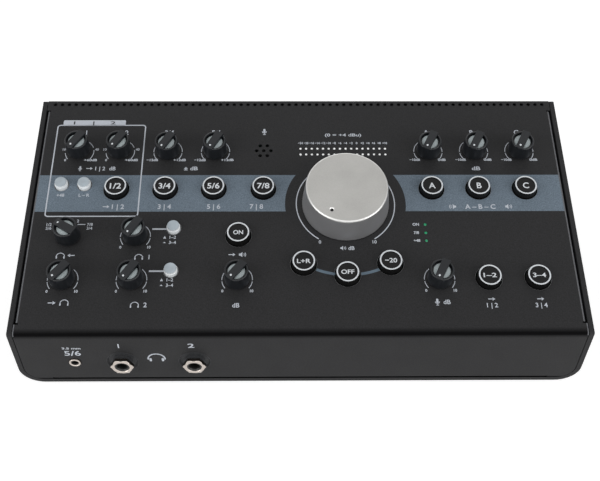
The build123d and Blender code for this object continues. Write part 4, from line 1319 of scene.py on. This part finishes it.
def hex_nut(builder, matrix, flats, bore, low, high):
    """Hexagonal nut with its corners turned off at the face; its flats and its bore take a darker nickel as
    painted shade.
    """
    side = hexagon(flats)
    face = flats / 2 - 0.1
    levels = [
        (low, lambda angle: side(angle) - 0.35), (low + 0.35, side), (high - 0.4, side),
        (high, lambda angle: min(side(angle), face)), (high, bore + 0.3), (high - 0.3, bore),
        (low, bore),
    ]
    stacked(builder, matrix, levels, closed=True, paints=[0, 1, 0, 0, 0, 0, 1])


def screw(builder, matrix, radius):
    """Round-headed screw with a hexagon socket."""
    socket = hexagon(radius * 0.8)
    levels = [
        (-0.3, radius), (radius * 0.25, radius), (radius * 0.5, radius * 0.85),
        (radius * 0.62, radius * 0.6), (radius * 0.62, lambda angle: socket(angle) + 0.08),
        (radius * 0.55, socket), (0.0, socket),
    ]
    stacked(builder, matrix, levels, count=24)


def build_front_sockets():
    """Headphone sockets with collar, bushing and nut, and the small stereo socket."""
    nuts = bmesh.new()
    for number, x in enumerate(phone_places, start=1):
        here = on_front(x, socket_z)
        turned = here @ Matrix.Rotation(math.radians(30), 4, "Z")  # a flat is on top
        hex_nut(nuts, turned, *phone_nut)
        socket = bmesh.new()
        collar = rounded(
            (0.0, -28.0), (4.7, -28.0), (4.7, -1.5), (6.1, -1.5), (6.1, 1.7, 0.3), (4.72, 1.7),
        )
        bushing = rounded((4.72, 4.1), (4.6, 4.2), (4.0, 4.2), (3.75, 3.9), (3.3, 3.2), (3.25, 1.0))
        throat = [(3.2, -2.0), (3.2, -24.0), (0.0, -24.0)]
        profile = collar + bushing + throat
        # The collar takes the dishes' lighter paint, as painted light.
        paints = [1] * len(collar) + [0] * (len(profile) - len(collar) - 1)
        lathe(socket, profile, here, 64, paints)
        paints = [socket_plastic, dish_lightened_paint]
        made = piece(f"phone_socket_{number}", socket, "case", paints)
        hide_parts(f"phone_jack_{number}")
    hex_nut(nuts, on_panel(*volume_place), *volume_nut)
    made = piece("socket_nuts", nuts, "case", [nickel, nickel_shaded_flats], 25)
    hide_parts("bushing_nuts")

    mini = bmesh.new()
    profile = rounded(
        (0.0, -14.0), (3.8, -14.0), (3.8, 0.85, 0.25), (2.9, 1.0), (2.5, 0.7), (2.4, 0.1),
        (2.05, 0.0), (1.85, -12.0), (0.0, -12.0),
    )
    paints = [0] * (len(profile) - 5) + [1] * 4
    lathe(mini, profile, on_front(mini_place, socket_z), 48, paints)
    made = piece("stereo_in_socket", mini, "case", [nickel, socket_plastic])
    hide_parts("stereo_in_jack")


# ======== rear and under side
rear_face = max(v.co.y for v in nodes["rear_panel"].data.vertices) / MM
rear_mounts = {mount["name"]: Vector(mount["pos_m"]) / MM for mount in frame["record"]["mounts"]}
line_mounts = {name: p for name, p in rear_mounts.items() if name.startswith("line_socket")}
combo_mounts = {name: p for name, p in rear_mounts.items() if name.startswith("combo_socket")}
line_nut = (14.4, 5.65, 0.0, 2.0)
case_screw_radius = 2.7
combo_screw_radius = 1.5
combo_screw_offset = (10.0, 12.5)  # across and up from the socket's middle
rear_screw_places = [(x, z) for x in (-172, -60, 60, 172) for z in (13.5, 74)]
under_screw_places = [(x, y) for x in (-120, 0, 120) for y in (-70, 70)]
combo_flange_thick = 2.0


def node_middle(name):
    """Middle of a CAD node in millimetres."""
    low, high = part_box(name)
    return (Vector(low) + Vector(high)) / 2 / MM


def build_rear():
    """Nuts, screws and print on the back, and screws under the case."""
    nuts = bmesh.new()
    for place in line_mounts.values():
        here = on_rear(place.x, rear_face, place.z)
        hex_nut(nuts, here, *line_nut)
    piece("line_socket_nuts", nuts, "case", [nickel, nickel_shaded_flats], 25)

    screws = bmesh.new()
    for x, z in rear_screw_places:
        screw(screws, on_rear(x, rear_face, z), case_screw_radius)
    for place in combo_mounts.values():
        for side in (-1, 1):
            x, z = (place.x + side * combo_screw_offset[0], place.z + side * combo_screw_offset[1])
            screw(screws, on_rear(x, rear_face + combo_flange_thick, z), combo_screw_radius)
    under = min(v.co.z for v in nodes["bottom_shell"].data.vertices) / MM
    for x, y in under_screw_places:
        place = Vector((x, y, under)) * MM
        screw(screws, frame_at(place, across, Vector((0, 0, -1))), case_screw_radius)
    piece("case_screws", screws, "case", [screw_metal], 25)

    ink = bmesh.new()

    def label(body, x, z, height):
        letters(ink, body, height, None, on_rear(x, rear_face, z))

    columns = sorted({round(place.x, 2) for place in line_mounts.values()})
    top = max(place.z for place in line_mounts.values())
    low = min(place.z for place in line_mounts.values())
    for number, x in enumerate(reversed(columns), start=1):
        label(str(2 * number - 1), x, top + 10.5, 3.2)
        label(str(2 * number), x, low - 10.0, 3.2)
    for number, place in enumerate(combo_mounts.values(), start=1):
        label(str(number), place.x, place.z + 19.5, 3.6)
    line = [(-columns[-1] - 8, top + 15.5), (-columns[0] + 8, top + 15.5)]
    strip(ink, line, 0.6, on_rear(0, rear_face, 0))
    label("dB", (columns[-1] + columns[0]) / 2, top + 19.5, 3.2)
    usb, inlet, power = map(node_middle, ("usb_socket", "dc_inlet", "power_button"))
    label("7/8", usb.x, usb.z + 9.5, 3.0)
    label("12 V", inlet.x, usb.z + 9.5, 3.0)
    label("ON", power.x, power.z + 8.5, 3.0)
    piece("rear_print", ink, "case", [white_ink])


def build_gasket():
    """Black strip in the slot under the front flange: a dark sheet that stands in for the slot's shadow, as
    painted shade.
    """
    shadow_strip = bmesh.new()
    outline = [
        (-front_slot_half + 0.2, front_y + 0.15), (front_slot_half - 0.2, front_y + 0.15),
        (front_slot_half - 0.2, front_y + 3.0), (-front_slot_half + 0.2, front_y + 3.0),
    ]
    prism(shadow_strip, outline, cover_bottom - 0.2, flange_foot, Matrix.Scale(MM, 4))
    bmesh.ops.bevel(shadow_strip, geom=list(shadow_strip.edges), offset=0.1 * MM, segments=2, affect="EDGES")
    piece("front_slot_shadow_strip", shadow_strip, "case", [slot_shadow_black])


# ======== stage
floor_half = 1.6  # metres
floor_glow = 0.62  # added where the floor is seen directly, so that it is white there
surround_light = 0.36  # the world's strength as light
light_target = (0, 0.0, 0.05)
soft_boxes = (  # name, place and size in metres, power in watts
    ("box_above", (0, -0.9, 1.35), (2.0, 1.0), 6),
    ("box_back", (0, 1.4, 0.75), (1.6, 0.8), 5),
    ("box_front", (0, -1.5, 0.3), (2.0, 0.8), 3),
    ("box_left", (-1.25, -0.75, 0.6), (1.0, 1.2), 10.5),
    ("box_right", (1.25, -0.75, 0.6), (1.0, 1.2), 10.5),
)
camera_place = (-7.95, -444.84, 544.06)
camera_aim = (0.01185, 0.66420, -0.74747)
camera_roll = 0.65
camera_lens = 56.9


def seen_directly(tree):
    """1 where the camera, a mirror or clear plastic sees a surface, else 0."""
    rays = new_node(tree, "ShaderNodeLightPath").outputs
    seen = rays["Is Camera Ray"]
    for name in ("Is Glossy Ray", "Is Transmission Ray"):
        inputs = {0: seen, 1: rays[name]}
        seen = new_node(tree, "ShaderNodeMath", inputs, operation="MAXIMUM").outputs[0]
    return seen


def build_floor():
    """Large pale floor that keeps the shadow and shows white to the camera."""
    mesh = bpy.data.meshes.new("floor")
    half = floor_half
    mesh.from_pydata(
        [(-half, -half, 0), (half, -half, 0), (half, half, 0), (-half, half, 0)], [],
        [(0, 1, 2, 3)],
    )
    floor = bpy.data.objects.new("floor", mesh)
    scene.collection.objects.link(floor)
    shade = Shader("floor_white")
    faint = shade.noise(3, 2.0, 0.5)
    shade.set(
        Base_Color=shade.tint(faint, (0.60,) * 3, (0.62,) * 3),
        Roughness=0.9,
        Specular_IOR_Level=0.1,
    )
    glow = shade.node("ShaderNodeEmission", {"Strength": floor_glow})
    off = shade.node("ShaderNodeEmission", {"Strength": 0.0})
    seen = seen_directly(shade.tree)
    inputs = {0: seen, 1: off.outputs[0], 2: glow.outputs[0]}
    choose = shade.node("ShaderNodeMixShader", inputs)
    inputs = {0: shade.surface.outputs[0], 1: choose.outputs[0]}
    both = shade.node("ShaderNodeAddShader", inputs)
    fill(shade.tree, shade.tree.nodes["Material Output"], {"Surface": both.outputs[0]})
    mesh.materials.append(shade.material)


def build_world():
    """Even surround: white where the camera or a mirror sees it, dimmer as light."""
    world = bpy.data.worlds.new("studio")
    world.use_nodes = True
    tree = world.node_tree
    inputs = {"Value": seen_directly(tree), "To Min": surround_light, "To Max": 1.0}
    strength = new_node(tree, "ShaderNodeMapRange", inputs).outputs["Result"]
    fill(tree, tree.nodes["Background"], {"Color": (1, 1, 1), "Strength": strength})
    scene.world = world


def build_lights():
    """Plain soft studio light from square area lamps that look at the controller."""
    for name, place, size, power in soft_boxes:
        lamp = bpy.data.lights.new(name, "AREA")
        lamp.shape = "RECTANGLE"
        lamp.size, lamp.size_y = size
        lamp.energy = power
        made = bpy.data.objects.new(name, lamp)
        made.location = place
        to_target = Vector(light_target) - Vector(place)
        made.rotation_euler = to_target.to_track_quat("-Z", "Y").to_euler()
        scene.collection.objects.link(made)


def build_camera():
    """Camera above the front of the controller, as a product photograph has it."""
    lens = bpy.data.cameras.new("camera")
    lens.lens = camera_lens
    lens.sensor_width = 36.0
    lens.clip_start = 0.01
    lens.clip_end = 20.0
    camera = bpy.data.objects.new("camera", lens)
    aim = Vector(camera_aim).to_track_quat("-Z", "Y").to_matrix()
    turned = aim @ Matrix.Rotation(math.radians(camera_roll), 3, "Z")
    camera.matrix_world = Matrix.Translation(Vector(camera_place) * MM) @ turned.to_4x4()
    scene.collection.objects.link(camera)
    scene.camera = camera


build_floor()
build_world()
build_lights()
build_camera()
build_cover()
print_panel()
print_front()
build_volume()
for knob_joint, knob_turn in small_knob_turns.items():
    build_small_knob(knob_joint, knob_turn)
for key_name in key_nodes:
    build_key(key_name)
for button_name in button_nodes:
    build_button(button_name)
build_lamps()
build_front_sockets()
build_gasket()
build_rear()

scene.view_settings.view_transform = "Standard"
